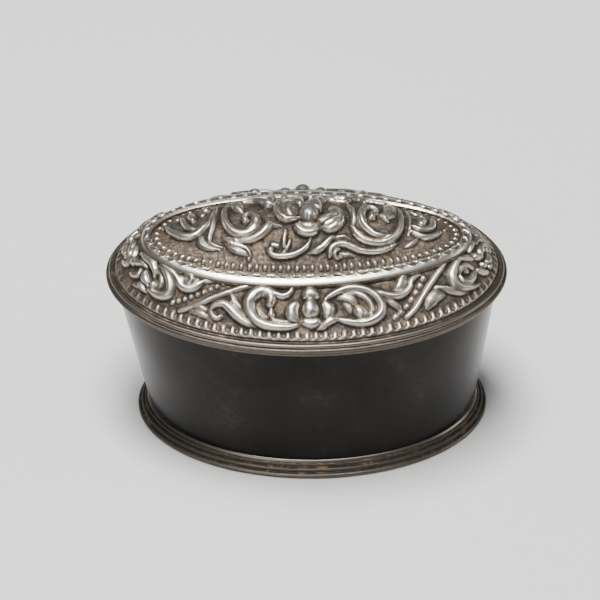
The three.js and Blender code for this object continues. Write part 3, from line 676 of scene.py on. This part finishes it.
def makeFrieze():
    around, up, inside = frieze["around"], frieze["up"], frieze["inside"]
    piece, order, u, v = addSheet("friezeSheet", around, up + 1 + inside)
    turns, run = evenTurns(31.8, 17.6, around)
    shares = np.linspace(-0.01, 1.07, up + 1)
    turn, share = np.meshgrid(turns, shares)
    layOut = lambda drawn: friezePlace(np.radians(np.array(drawn)[:, 0]), np.array(drawn)[:, 1])
    sheet = WorkedSheet(friezePlace(turn, share), layOut, True, frieze["fullness"], frieze["matting"])
    sheet.raiseAll(leftEnd + rightEnd + turnedRound(leftEnd) + turnedRound(rightEnd))
    sheet.raiseAll(longPanel + turnedRound(longPanel))
    for turnedBy in (0, 180):
        for place, width, lift in [(p, 0.36, 0.5) for p in dividerBeads] + [(p, 0.42, 0.4) for p in dividerBosses]:
            spot = (place[0] + turnedBy, place[1])
            beside = (spot[0] - 0.5, spot[1] + 0.02) if width > 0.4 else (spot[0] + 0.05, spot[1])
            sheet.raiseForm([spot, beside], [width, width], [lift, lift], (), 0.12)
    # the arcade along the foot: a bead in each small arch
    slope = np.linalg.norm(friezePlace(turn, 1.0 + 0 * turn) - friezePlace(turn, 0 * turn), axis=2) * share
    footTurns, footRun = evenTurns(34.2, 21.8, 7200)
    count = round(footRun / frieze["pitch"])
    place = np.interp(turn, np.append(footTurns, 2 * np.pi), np.linspace(0, 1, 7201)) * count
    pitch = footRun / count
    wobble = 0.07 * np.sin(np.floor(place + 0.5) * 2.4)
    across = (place - np.floor(place + 0.5)) * pitch + wobble
    band = np.clip((slope - 0.14) / 0.14, 0, 1) * np.clip((2.0 - slope) / 0.7, 0, 1) ** 0.5
    pitWidth = 0.5 + 0.24 * np.clip(slope - 1.0, 0, 1)
    arch = np.hypot(across / pitWidth, np.minimum(slope - 1.0, 0) / 0.5)
    hollow = np.clip((1.12 - arch) / 0.26, 0, 1)
    bead = np.clip(1 - np.hypot(across / 0.34, (slope - 1.05) / 0.4) ** 2, 0, 1) ** 0.5
    arcade = band * (0.38 - 0.46 * hollow) + 0.22 * bead
    sheet.raised = np.where(slope < 2.1, np.maximum(sheet.raised * np.clip((slope - 1.6) / 0.5, 0, 1), arcade), sheet.raised)
    sheet.raised *= np.clip((1.06 - share) / 0.03, 0, 1)
    # the far side keeps its forms lower under the ring
    sheet.raised *= np.where(turn > np.pi, np.clip((0.98 - share) / 0.35, 0, 1), 1)
    outer = sheet.finished()
    back = []
    for i in range(inside):
        backShare = 0.84 * (1 - i / (inside - 1))
        row = friezePlace(turns, backShare + 0 * turns)
        thick = 1.5 * frieze["sheet"]
        length = np.hypot(row[:, 0], row[:, 1])
        row[:, :2] *= (1 - thick / length)[:, None]
        back.append(row)
    places = np.concatenate([outer, np.array(back)], axis=0)
    grime = np.concatenate([sheet.grime(), np.full((inside, around), 0.8)], axis=0)
    closeSheet(piece, order, places, {"grime": grime})
    smoothShade(piece)
    settle(piece, "lid", "lid_frieze", reliefSilver)


# The ring's section runs up its outer side, over the crowned band and down its inner side
ring = {"around": 1300, "proud": 0.4, "moonPitch": 2.28, "moonWidth": 0.76, "moonHeight": 0.34, "moonDepth": 0.3}


def ringPlace(turn, share, rise):
    outerLength, outerWidth = box["ringLength"] / 2, box["ringWidth"] / 2
    halfLength = outerLength - box["ringBandAtEnds"] * share
    halfWidth = outerWidth - box["ringBandAtSides"] * share
    return np.stack([
        halfLength * np.cos(turn),
        -halfWidth * np.sin(turn) * (1 - box["ringTaper"] * np.cos(turn)),
        box["friezeTop"] + ring["proud"] + rise + 0 * turn,
    ], axis=-1)


def makeCrescentRing():
    around = ring["around"]
    section = [(0.0, -0.5), (-0.01, -0.1), (-0.005, 0.1)]
    crown = [(0.0, 0.2), (0.04, 0.33), (0.15, 0.58), (0.35, 0.86), (0.6, 0.99), (0.82, 0.96), (0.96, 0.84), (1.0, 0.72)]
    fine = smoothLine(crown, 5)
    section += [tuple(p) for p in fine] + [(1.0, 0.4), (1.0, -0.4), (0.5, -0.5)]
    piece, order, u, v = addSheet("crescentBand", around, len(section))
    turns, run = evenTurns(28.6, 12.4, around)
    turn, share = np.meshgrid(turns, [p[0] for p in section])
    rise = np.array([p[1] for p in section])[:, None] + 0 * turn
    sheet = WorkedSheet(ringPlace(turn, share, rise), None, wraps=True)
    moonTurns, moonRun = evenTurns(28.2, 11.8, 7200)
    count = round(moonRun / ring["moonPitch"])
    place = np.interp(turn, np.append(moonTurns, 2 * np.pi), np.linspace(0, 1, 7201)) * count
    index = np.floor(place + 0.5)
    bigger = 1 + 0.28 * (np.cos(turn) > 0.3) + 0.07 * np.sin(index * 1.9)
    across = (place - index) * moonRun / count + 0.1 * np.sin(index * 2.7)
    bandWidth = np.linalg.norm(ringPlace(turn, 0 * turn, rise) - ringPlace(turn, 1 + 0 * turn, rise), axis=2)
    inward = (share - 0.53) * bandWidth
    curve = 0.2 * (across / ring["moonWidth"]) ** 2
    moon = np.hypot(across / (ring["moonWidth"] * bigger), (inward - curve) / (ring["moonHeight"] * bigger))
    onTop = (share > 0.1) & (share < 0.97) & (rise > 0.3)
    press = np.clip((1.0 - moon) / 0.28, 0, 1) * onTop
    lip = np.exp(-(((moon - 1.25) / 0.18) ** 2)) * onTop
    sheet.raised = -ring["moonDepth"] * press + 0.05 * lip
    # Oxide in the punched crescents. The ring's side walls and underside (rise below 0.3) and its inner edge are
    # darkened as painted shade: the shadow in the gaps where the ring meets the frieze and the dome.
    grime = np.clip(0.14 + 0.8 * press + np.where(rise < 0.3, 0.6, 0) + np.where(share > 0.97, 0.5, 0) - 0.1 * lip, 0, 1)
    closeSheet(piece, order, sheet.finished(0), {"grime": grime})
    handled(piece, 0.07, 6)
    smoothShade(piece, 60)
    settle(piece, "lid", "crescent_ring", ringSilver)


# The dome is drawn in plan, x to the right and y away from the viewer, in mm
dome = {"along": 466, "across": 180, "tuck": 0.35, "edge": 38.0, "rise": 5.3, "power": 2.1, "sheet": 0.8, "beadPitch": 1.4, "fullness": 1.22, "matting": 0.12}
domeLength = box["ringLength"] / 2 - box["ringBandAtEnds"] - 0.3 + dome["tuck"]
domeWidth = box["ringWidth"] / 2 - box["ringBandAtSides"] - 0.3 + dome["tuck"]

domeForms = [
    # low leaves and blobs on the ground
    ([(-18.6, -3.2), (-18.5, -4.4), (-17.6, -5.3), (-16.5, -5.8), (-15.3, -6.2)], [0.5, 0.8, 0.75, 0.55, 0.2], [0.4, 0.5, 0.5, 0.45, 0.3], [(0.1, 0.12)]),
    ([(-14.2, -4.9), (-13.3, -6.1), (-12.0, -6.9), (-10.6, -7.6)], [0.4, 0.66, 0.72, 0.45], [0.4, 0.55, 0.6, 0.45], [(0.0, 0.16)]),
    ([(19.6, -3.7), (18.6, -4.6), (17.5, -5.5)], [0.3, 0.45, 0.15], [0.4, 0.45, 0.3], [(0.0, 0.1)]),
    ([(-25.7, 2.8), (-25.6, 1.6)], [0.25, 0.2], [0.3, 0.3]),
    ([(-23.7, 5.0), (-23.0, 3.8)], [0.4, 0.25], [0.4, 0.4]),
    ([(-5.9, -6.5), (-5.1, -6.7)], [0.5, 0.45], [0.4, 0.45]),
    ([(6.1, -8.0), (7.2, -7.9), (8.6, -7.95)], [0.4, 0.4, 0.12], [0.4, 0.4, 0.2], [(0.0, 0.08)]),
    ([(20.2, 4.0), (20.6, 3.0)], [0.5, 0.4], [0.5, 0.5]),
    ([(25.0, 1.0), (24.6, 0.2)], [0.3, 0.2], [0.35, 0.3]),
    # left end scroll
    ([(-22.2, 3.6), (-21.8, 1.6), (-21.2, 0.0), (-20.4, -1.1), (-19.5, -1.5), (-18.6, -1.0), (-17.9, 0.0)], [0.35, 0.5, 0.55, 0.55, 0.5, 0.42, 0.3], [0.5, 0.7, 0.8, 0.85, 0.85, 0.75, 0.5]),
    ([(-24.9, 1.8), (-24.3, 0.2), (-23.4, -0.9), (-22.2, -2.0), (-20.8, -2.6), (-19.5, -2.5), (-18.5, -1.8), (-17.6, -0.9), (-17.0, 0.2), (-16.9, 1.8)], [0.35, 0.52, 0.64, 0.7, 0.76, 0.74, 0.62, 0.46, 0.35, 0.25], [0.5, 0.7, 0.85, 0.95, 1.0, 1.0, 0.95, 0.9, 0.8, 0.6], [(0.35, 0.1)]),
    ([(-20.5, 3.4), (-20.3, 2.4), (-20.1, 1.3)], [0.6, 0.7, 0.4], [0.85, 1.0, 0.9], [(0.2, 0.1)]),
    ([(-18.1, 6.0), (-17.7, 4.5)], [0.6, 0.45], [0.8, 0.85]),
    # tall leaf between the two left scrolls
    ([(-16.1, 5.0), (-16.2, 2.0), (-16.3, 0.0), (-16.6, -2.0), (-17.1, -3.8), (-16.9, -4.9), (-15.9, -5.6), (-14.9, -6.0)], [0.3, 0.42, 0.48, 0.46, 0.38, 0.32, 0.27, 0.15], [0.6, 0.85, 1.0, 0.95, 0.85, 0.75, 0.65, 0.4]),
    # hanging leaf's bright edge
    ([(-14.6, -3.9), (-14.1, -4.8), (-13.2, -5.6), (-12.0, -6.1), (-10.8, -6.6), (-10.1, -7.3), (-9.75, -8.1)], [0.2, 0.3, 0.32, 0.3, 0.28, 0.25, 0.18], [0.5, 0.8, 0.85, 0.85, 0.85, 0.8, 0.6]),
    ([(-10.2, -8.4), (-10.15, -8.5)], [0.3, 0.28], [0.6, 0.6]),
    # left C-scroll: its inner leaf, then the back that widens into a dish and winds in to the boss
    ([(-12.4, 5.6), (-12.3, 4.0), (-12.0, 2.7), (-11.4, 1.6)], [0.9, 1.1, 0.85, 0.25], [0.85, 1.05, 1.1, 0.7], [(-0.25, 0.14), (0.35, 0.1)]),
    ([(-14.3, 5.0), (-14.5, 2.5), (-14.55, 0.3), (-14.0, -1.7), (-12.9, -3.3), (-11.5, -4.1), (-10.2, -3.9), (-9.2, -3.0), (-8.9, -1.7), (-9.2, -0.4), (-10.0, 0.3), (-11.0, 0.2)], [0.3, 0.42, 0.5, 0.55, 0.62, 0.8, 0.95, 1.0, 1.0, 0.9, 0.6, 0.3], [0.6, 0.9, 1.1, 1.15, 1.15, 1.15, 1.1, 1.1, 1.15, 1.15, 1.05, 0.8], [(-0.72, 0.12)]),
    ([(-10.75, -1.1), (-10.65, -1.4)], [0.62, 0.6], [1.15, 1.1], (), 0.35),
    # the leaf that runs from under it to the flower
    ([(-13.9, -4.3), (-12.6, -5.15), (-11.0, -5.5), (-9.4, -5.35), (-8.1, -4.7), (-7.2, -3.8), (-6.6, -2.9), (-5.5, -3.0), (-4.4, -3.1)], [0.2, 0.34, 0.46, 0.56, 0.62, 0.7, 0.85, 0.42, 0.2], [0.5, 0.7, 0.9, 1.05, 1.15, 1.25, 1.3, 1.0, 0.6], [(0.5, 0.06)]),
    ([(-6.9, -1.9), (-6.6, -2.6)], [0.3, 0.5], [1.2, 1.25], (), 0.05),
    ([(-9.4, 7.0), (-9.2, 6.0), (-8.9, 5.0)], [0.5, 0.75, 0.5], [0.9, 0.95, 0.8]),
    ([(-6.9, 7.2), (-6.4, 5.8), (-6.2, 4.2)], [0.5, 0.7, 0.2], [0.9, 1.0, 0.6], [(0.0, 0.1)]),
    # boat-shaped scroll under the flower, with its knob and two leaflets
    ([(-3.6, -4.1), (-3.75, -5.0), (-3.95, -6.0), (-3.9, -7.0)], [0.3, 0.38, 0.36, 0.3], [0.8, 0.85, 0.8, 0.7]),
    ([(-2.85, -5.8), (-3.05, -6.6), (-3.5, -7.4), (-4.3, -7.9)], [0.24, 0.3, 0.3, 0.2], [0.7, 0.75, 0.75, 0.6]),
    ([(0.75, -5.7), (0.3, -6.6), (-0.5, -7.4), (-1.7, -8.0), (-3.2, -8.35), (-5.0, -8.35), (-6.2, -8.0), (-6.7, -7.4)], [0.22, 0.38, 0.46, 0.5, 0.5, 0.48, 0.42, 0.36], [0.7, 0.85, 0.95, 0.95, 0.95, 0.95, 0.95, 0.9], [(-0.3, 0.08)]),
    ([(-6.3, -7.3), (-6.15, -7.35)], [0.46, 0.42], [1.0, 0.95], (), 0.14),
    # leaf and long scroll to the right of it
    ([(6.4, -5.5), (4.9, -5.3), (4.0, -5.8), (3.3, -6.5), (2.7, -7.1), (1.8, -7.6), (0.5, -7.95)], [0.15, 0.34, 0.46, 0.55, 0.6, 0.52, 0.15], [0.5, 0.8, 0.9, 0.95, 0.95, 0.85, 0.4], [(-0.1, 0.1)]),
    ([(2.5, -7.0), (1.9, -7.2)], [0.36, 0.34], [0.95, 0.9], (), 0.1),
    ([(5.9, -7.2), (5.2, -7.5), (4.9, -8.1), (5.4, -8.5), (6.2, -8.3)], [0.2, 0.34, 0.36, 0.32, 0.2], [0.9, 0.95, 0.95, 0.85, 0.6]),
    ([(4.1, -8.3), (4.1, -7.6), (4.6, -6.9), (5.6, -6.4), (6.8, -6.3), (7.9, -6.6), (9.2, -7.0), (10.6, -7.1), (12.2, -6.95), (13.6, -6.6), (14.8, -6.0), (15.8, -5.1)], [0.35, 0.46, 0.54, 0.58, 0.58, 0.54, 0.5, 0.48, 0.48, 0.46, 0.36, 0.2], [0.85, 0.95, 1.05, 1.1, 1.1, 1.05, 1.0, 0.95, 0.95, 0.9, 0.8, 0.6], [(0.2, 0.08)]),
    ([(5.6, -5.1), (6.7, -5.0), (7.8, -5.35)], [0.3, 0.38, 0.15], [0.7, 0.7, 0.4]),
    # right C-scroll: side leaf, leaf in it, back, and the inner band that turns over to its knob
    ([(7.0, 7.6), (7.4, 6.2), (7.35, 4.4)], [0.55, 0.8, 0.25], [0.9, 1.0, 0.6], [(0.0, 0.1)]),
    ([(9.6, 6.9), (10.4, 5.6)], [0.5, 0.35], [0.7, 0.7]),
    ([(7.4, 2.8), (8.0, 1.2), (8.3, -0.4), (8.4, -1.8), (8.2, -2.7)], [0.3, 0.5, 0.52, 0.46, 0.25], [0.8, 1.05, 1.1, 1.05, 0.8]),
    ([(14.6, 5.2), (15.0, 3.2), (14.9, 1.6), (14.2, 0.2)], [0.8, 1.15, 1.15, 0.7], [0.75, 0.9, 0.95, 0.9], [(0.45, 0.16), (-0.2, 0.12), (-0.7, 0.1)]),
    ([(13.2, 0.5), (13.6, -0.3), (14.4, -0.95)], [0.25, 0.32, 0.22], [1.05, 1.1, 0.95], (), 0.08),
    ([(12.4, 0.6), (12.5, 1.6), (11.7, 2.4), (10.7, 2.3), (10.0, 1.2), (9.75, -0.4), (10.0, -1.9), (10.8, -3.1), (12.0, -4.0), (13.4, -4.3), (14.8, -3.9), (15.6, -3.0)], [0.3, 0.42, 0.5, 0.6, 0.7, 0.74, 0.7, 0.62, 0.56, 0.5, 0.4, 0.2], [0.85, 1.0, 1.1, 1.2, 1.25, 1.25, 1.2, 1.15, 1.1, 1.05, 0.95, 0.7], [(0.3, 0.06)]),
    ([(11.7, 0.4), (11.6, -0.4)], [0.62, 0.6], [1.0, 1.05], (), 0.3),
    ([(8.1, -3.0), (8.8, -4.2), (9.9, -5.1), (11.4, -5.5), (13.0, -5.45), (14.5, -4.9), (15.7, -3.8), (16.4, -2.4), (16.75, -0.9), (16.8, 0.9), (16.5, 3.4)], [0.45, 0.66, 0.68, 0.64, 0.64, 0.66, 0.64, 0.54, 0.46, 0.4, 0.3], [0.85, 1.1, 1.15, 1.15, 1.15, 1.2, 1.25, 1.2, 1.1, 0.95, 0.6], [(-0.5, 0.06)]),
    ([(17.7, 4.2), (18.1, 2.2), (18.3, 0.2), (18.3, -1.5), (18.1, -3.2)], [0.2, 0.3, 0.32, 0.3, 0.16], [0.5, 0.75, 0.85, 0.85, 0.5]),
    # right end scroll
    ([(20.6, 1.5), (20.6, 0.4)], [0.85, 0.8], [0.75, 0.8]),
    ([(22.3, 2.8), (22.5, 1.0), (22.1, -0.3), (21.1, -1.2), (19.9, -1.5), (18.8, -1.0)], [0.3, 0.5, 0.56, 0.56, 0.5, 0.3], [0.6, 0.8, 0.85, 0.9, 0.9, 0.7]),
    ([(18.6, -2.3), (19.7, -2.75), (20.9, -2.85), (22.1, -2.4), (23.2, -1.6), (24.0, -0.7)], [0.32, 0.5, 0.58, 0.58, 0.48, 0.2], [0.7, 0.85, 0.9, 0.85, 0.8, 0.5]),
    ([(20.95, 0.8), (20.9, 0.5)], [0.35, 0.35], [1.0, 1.0], (), 0.08),
]
flower = [
    # rear petals
    ([(-1.4, 3.2), (-1.6, 4.6), (-1.2, 5.6)], [0.9, 1.1, 0.7], [1.0, 1.0, 0.8], [(0.0, 0.1)]),
    ([(1.6, 3.6), (2.3, 4.8), (2.4, 5.6)], [0.8, 1.1, 0.8], [1.0, 1.0, 0.8]),
    # left petal: a broad folded leaf with a rolled outer edge
    ([(-3.0, -0.9), (-3.2, 0.6), (-3.3, 1.9)], [1.2, 1.6, 1.6], [1.0, 1.05, 1.1]),
    ([(-2.0, 3.0), (-3.4, 3.3), (-4.7, 2.7), (-5.1, 1.3), (-4.8, -0.2), (-4.2, -1.3), (-3.4, -1.9), (-2.4, -1.8), (-1.4, -1.6)], [0.4, 0.6, 0.66, 0.66, 0.72, 0.76, 0.66, 0.5, 0.3], [1.15, 1.3, 1.4, 1.4, 1.4, 1.4, 1.35, 1.2, 1.0], (), 0.1),
    ([(-2.2, 2.4), (-3.0, 1.2), (-3.1, 0.0), (-2.6, -0.8)], [0.4, 0.62, 0.6, 0.3], [1.15, 1.35, 1.35, 1.1], [(-0.1, 0.12)], 0.2),
    # lower petal
    ([(-1.0, -2.7), (-0.2, -3.1), (0.9, -3.1), (1.7, -2.8)], [0.4, 0.9, 0.9, 0.4], [0.7, 0.9, 0.9, 0.7]),
    ([(-1.2, -2.8), (-1.5, -3.7), (-0.7, -4.4), (0.4, -4.6), (1.4, -4.3), (1.9, -3.5), (1.7, -2.9)], [0.35, 0.66, 0.78, 0.8, 0.72, 0.5, 0.2], [1.1, 1.35, 1.4, 1.4, 1.3, 1.1, 0.8], (), 0.12),
    # right petal: a fan with ribs and a rolled edge
    ([(2.9, -1.7), (4.2, -1.4), (4.9, -0.6)], [0.9, 1.4, 1.2], [0.8, 0.95, 1.0], [(-0.4, 0.14), (0.1, 0.14), (0.55, 0.12)]),
    ([(4.2, 1.1), (5.3, 0.7), (5.95, -0.5), (5.9, -2.0), (5.2, -3.2), (4.1, -3.85), (2.9, -3.6)], [0.3, 0.55, 0.66, 0.8, 0.92, 0.85, 0.4], [0.9, 1.2, 1.3, 1.35, 1.4, 1.35, 1.0], (), 0.12),
    ([(3.4, -2.9), (4.3, -2.4), (5.0, -1.7)], [0.4, 0.52, 0.4], [1.15, 1.3, 1.2], (), 0.06),
    # the bud, and the lobe that closes over it
    ([(0.6, 0.6), (1.1, 1.9), (1.3, 2.7)], [1.3, 1.55, 1.2], [1.5, 1.65, 1.5], [(0.35, 0.14)]),
    ([(0.35, -0.7), (0.4, -0.2)], [1.5, 1.55], [1.85, 1.85], (), 0.2),
    ([(-1.0, 1.7), (0.0, 1.25), (0.9, 1.05), (1.9, 0.9), (2.5, 0.3)], [0.3, 0.45, 0.5, 0.5, 0.25], [1.2, 1.5, 1.7, 1.6, 1.2], (), 0.08),
]


def mirroredAway(forms):
    # the far side of the dome repeats the near side's outer forms
    return [
        ([(x, -y) for x, y in form[0]], *form[1:])
        for form in forms if max(y for x, y in form[0]) < -2.2
    ]


def domeReach(x, y):
    reach = np.hypot(x / domeLength, y / domeWidth)
    for repeat in range(5):
        towards = np.clip(x / domeLength / np.maximum(reach, 1e-6), -1, 1)
        reach = np.hypot(x / domeLength, y / domeWidth / (1 - box["ringTaper"] * towards))
    return reach


def domePlace(x, y):
    reach = domeReach(x, y)
    height = dome["edge"] + dome["rise"] * (1 - np.minimum(reach, 1.1) ** dome["power"])
    return np.stack([x, y, height], axis=-1)


def makeDome():
    piece, order, u, v = addSheet("domeSheet", dome["along"], dome["across"])
    # a square sheet pressed evenly into an oval
    wide = np.abs(u) > np.abs(v)
    radius = np.where(wide, u, v)
    safe = np.where(radius == 0, 1, radius)
    angle = np.where(wide, np.pi / 4 * v / safe, np.pi / 2 - np.pi / 4 * u / safe)
    x, y = radius * np.cos(angle), radius * np.sin(angle)
    reach = np.hypot(x, y)
    towards = x / np.maximum(reach, 1e-9)
    x, y = x * domeLength, y * domeWidth * (1 - box["ringTaper"] * towards)
    layOut = lambda drawn: domePlace(np.array(drawn)[:, 0], np.array(drawn)[:, 1])
    sheet = WorkedSheet(domePlace(x, y), layOut, False, dome["fullness"], dome["matting"])
    sheet.raiseAll(domeForms + mirroredAway(domeForms) + flower)
    # the bead row just inside the ring
    beadTurns, beadRun = evenTurns(domeLength - 1.1, domeWidth - 0.95, 7200)
    count = round(beadRun / dome["beadPitch"])
    for i in range(count):
        turn = beadTurns[int(i * 7200 / count)] + 0.004 * math.sin(i * 2.1)
        spots = []
        for inset in (0.78, 1.08):
            beadX = (domeLength - inset - 0.1) * math.cos(turn)
            beadY = -(domeWidth - inset) * math.sin(turn) * (1 - box["ringTaper"] * math.cos(turn))
            spots.append((beadX, beadY))
        size = 0.30 + 0.03 * math.sin(i * 3.3)
        sheet.raiseForm(spots, [size, size * 0.9], [0.42, 0.4], (), 0.1)
    grime = sheet.grime()
    setPoints(piece, order, sheet.finished(), {"grime": grime})
    # turn the edge down and close the underside
    pick(piece)
    bpy.ops.object.mode_set(mode="EDIT")
    bpy.ops.mesh.select_mode(type="VERT")
    bpy.ops.mesh.select_all(action="DESELECT")
    bpy.ops.mesh.select_non_manifold()
    under = [(1.0, 37.45), (0.965, 37.45)]
    under += [(s, dome["edge"] - dome["sheet"] + dome["rise"] * (1 - s ** dome["power"])) for s in (0.93, 0.8, 0.55, 0.25)]
    lastScale, lastHeight = 1.0, dome["edge"]
    for scale, height in under:
        bpy.ops.mesh.extrude_region_move(TRANSFORM_OT_translate={"value": (0, 0, (height - lastHeight) * mm)})
        bpy.ops.transform.resize(value=(scale / lastScale, scale / lastScale, 1), center_override=(0, 0, height * mm))
        lastScale, lastHeight = scale, height
    bpy.ops.mesh.edge_face_add()
    bpy.ops.mesh.select_all(action="SELECT")
    bpy.ops.mesh.normals_make_consistent(inside=False)
    bpy.ops.object.mode_set(mode="OBJECT")
    smoothShade(piece, 70)
    settle(piece, "lid", "lid_dome", reliefSilver)


makeFoot()
makeWall()
makeSeat()
makeFlange()
makeRim()
makeFrieze()
makeCrescentRing()
makeDome()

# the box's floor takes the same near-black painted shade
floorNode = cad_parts["base_floor"]
floorNode.data.materials.clear()
floorNode.data.materials.append(bodySilver)
print("pieces made")


# ---- the room


room = {"floorSize": 3.0, "floorColour": (0.66, 0.65, 0.64), "air": 0.16}


def makeRoom():
    deselectAll()
    bpy.ops.mesh.primitive_plane_add(size=room["floorSize"], location=(0, 0, -0.00002))
    ground = bpy.context.object
    ground.name = "paleFloor"
    finish = Finish("paleFloor")
    shader = finish.add("ShaderNodeBsdfPrincipled", {}, {"Base Color": (*room["floorColour"], 1), "Roughness": 0.85})
    ground.data.materials.append(finish.close(shader))
    world = bpy.data.worlds.new("softAir")
    world.use_nodes = True
    world.node_tree.nodes["Background"].inputs["Color"].default_value = (0.9, 0.93, 1.0, 1)
    world.node_tree.nodes["Background"].inputs["Strength"].default_value = room["air"]
    bpy.context.scene.world = world


# Large soft lights: place, size and power, each turned to the box
lights = {
    "overhead": ((-0.05, -0.03, 0.75), (0.4, 0.26), 14.0),
    "front": ((-0.35, -0.8, 0.5), (0.4, 0.4), 2.0),
    "right": ((0.8, 0.0, 0.4), (0.3, 0.3), 1.0),
}


def makeLights():
    for name, (place, size, power) in lights.items():
        bpy.ops.object.light_add(type="AREA", location=place)
        lamp = bpy.context.object
        lamp.name = name
        lamp.data.shape = "RECTANGLE"
        lamp.data.size, lamp.data.size_y = size
        lamp.data.energy = power
        towards = Vector((0, 0, 0.03)) - Vector(place)
        lamp.rotation_euler = towards.to_track_quat("-Z", "Y").to_euler()


camera = {"distance": 720.0, "elevation": 38.0, "target": (0.0, 0.0, 30.1), "pixelLength": 4010.0, "targetPixel": (306.7, 272.5), "roll": 0.4}


def makeCamera():
    up = math.radians(camera["elevation"])
    target = Vector(camera["target"]) * mm
    place = target + Vector((0, -math.cos(up), math.sin(up))) * camera["distance"] * mm
    right = Vector((1, 0, 0))
    screenUp = Vector((0, math.sin(up), math.cos(up)))
    scale = camera["distance"] * mm / camera["pixelLength"]
    aim = target - right * (camera["targetPixel"][0] - 300) * scale - screenUp * (300 - camera["targetPixel"][1]) * scale
    bpy.ops.object.camera_add(location=place)
    eye = bpy.context.object
    eye.name = "photoCamera"
    turn = (aim - place).to_track_quat("-Z", "Y").to_euler()
    eye.rotation_euler = turn
    eye.rotation_euler.rotate_axis("Z", math.radians(-camera["roll"]))
    eye.data.sensor_width = 36
    eye.data.lens = camera["pixelLength"] / 600 * 36
    eye.data.clip_start = 0.01
    bpy.context.scene.camera = eye


makeRoom()
makeLights()
makeCamera()
print("room, lights and camera made")
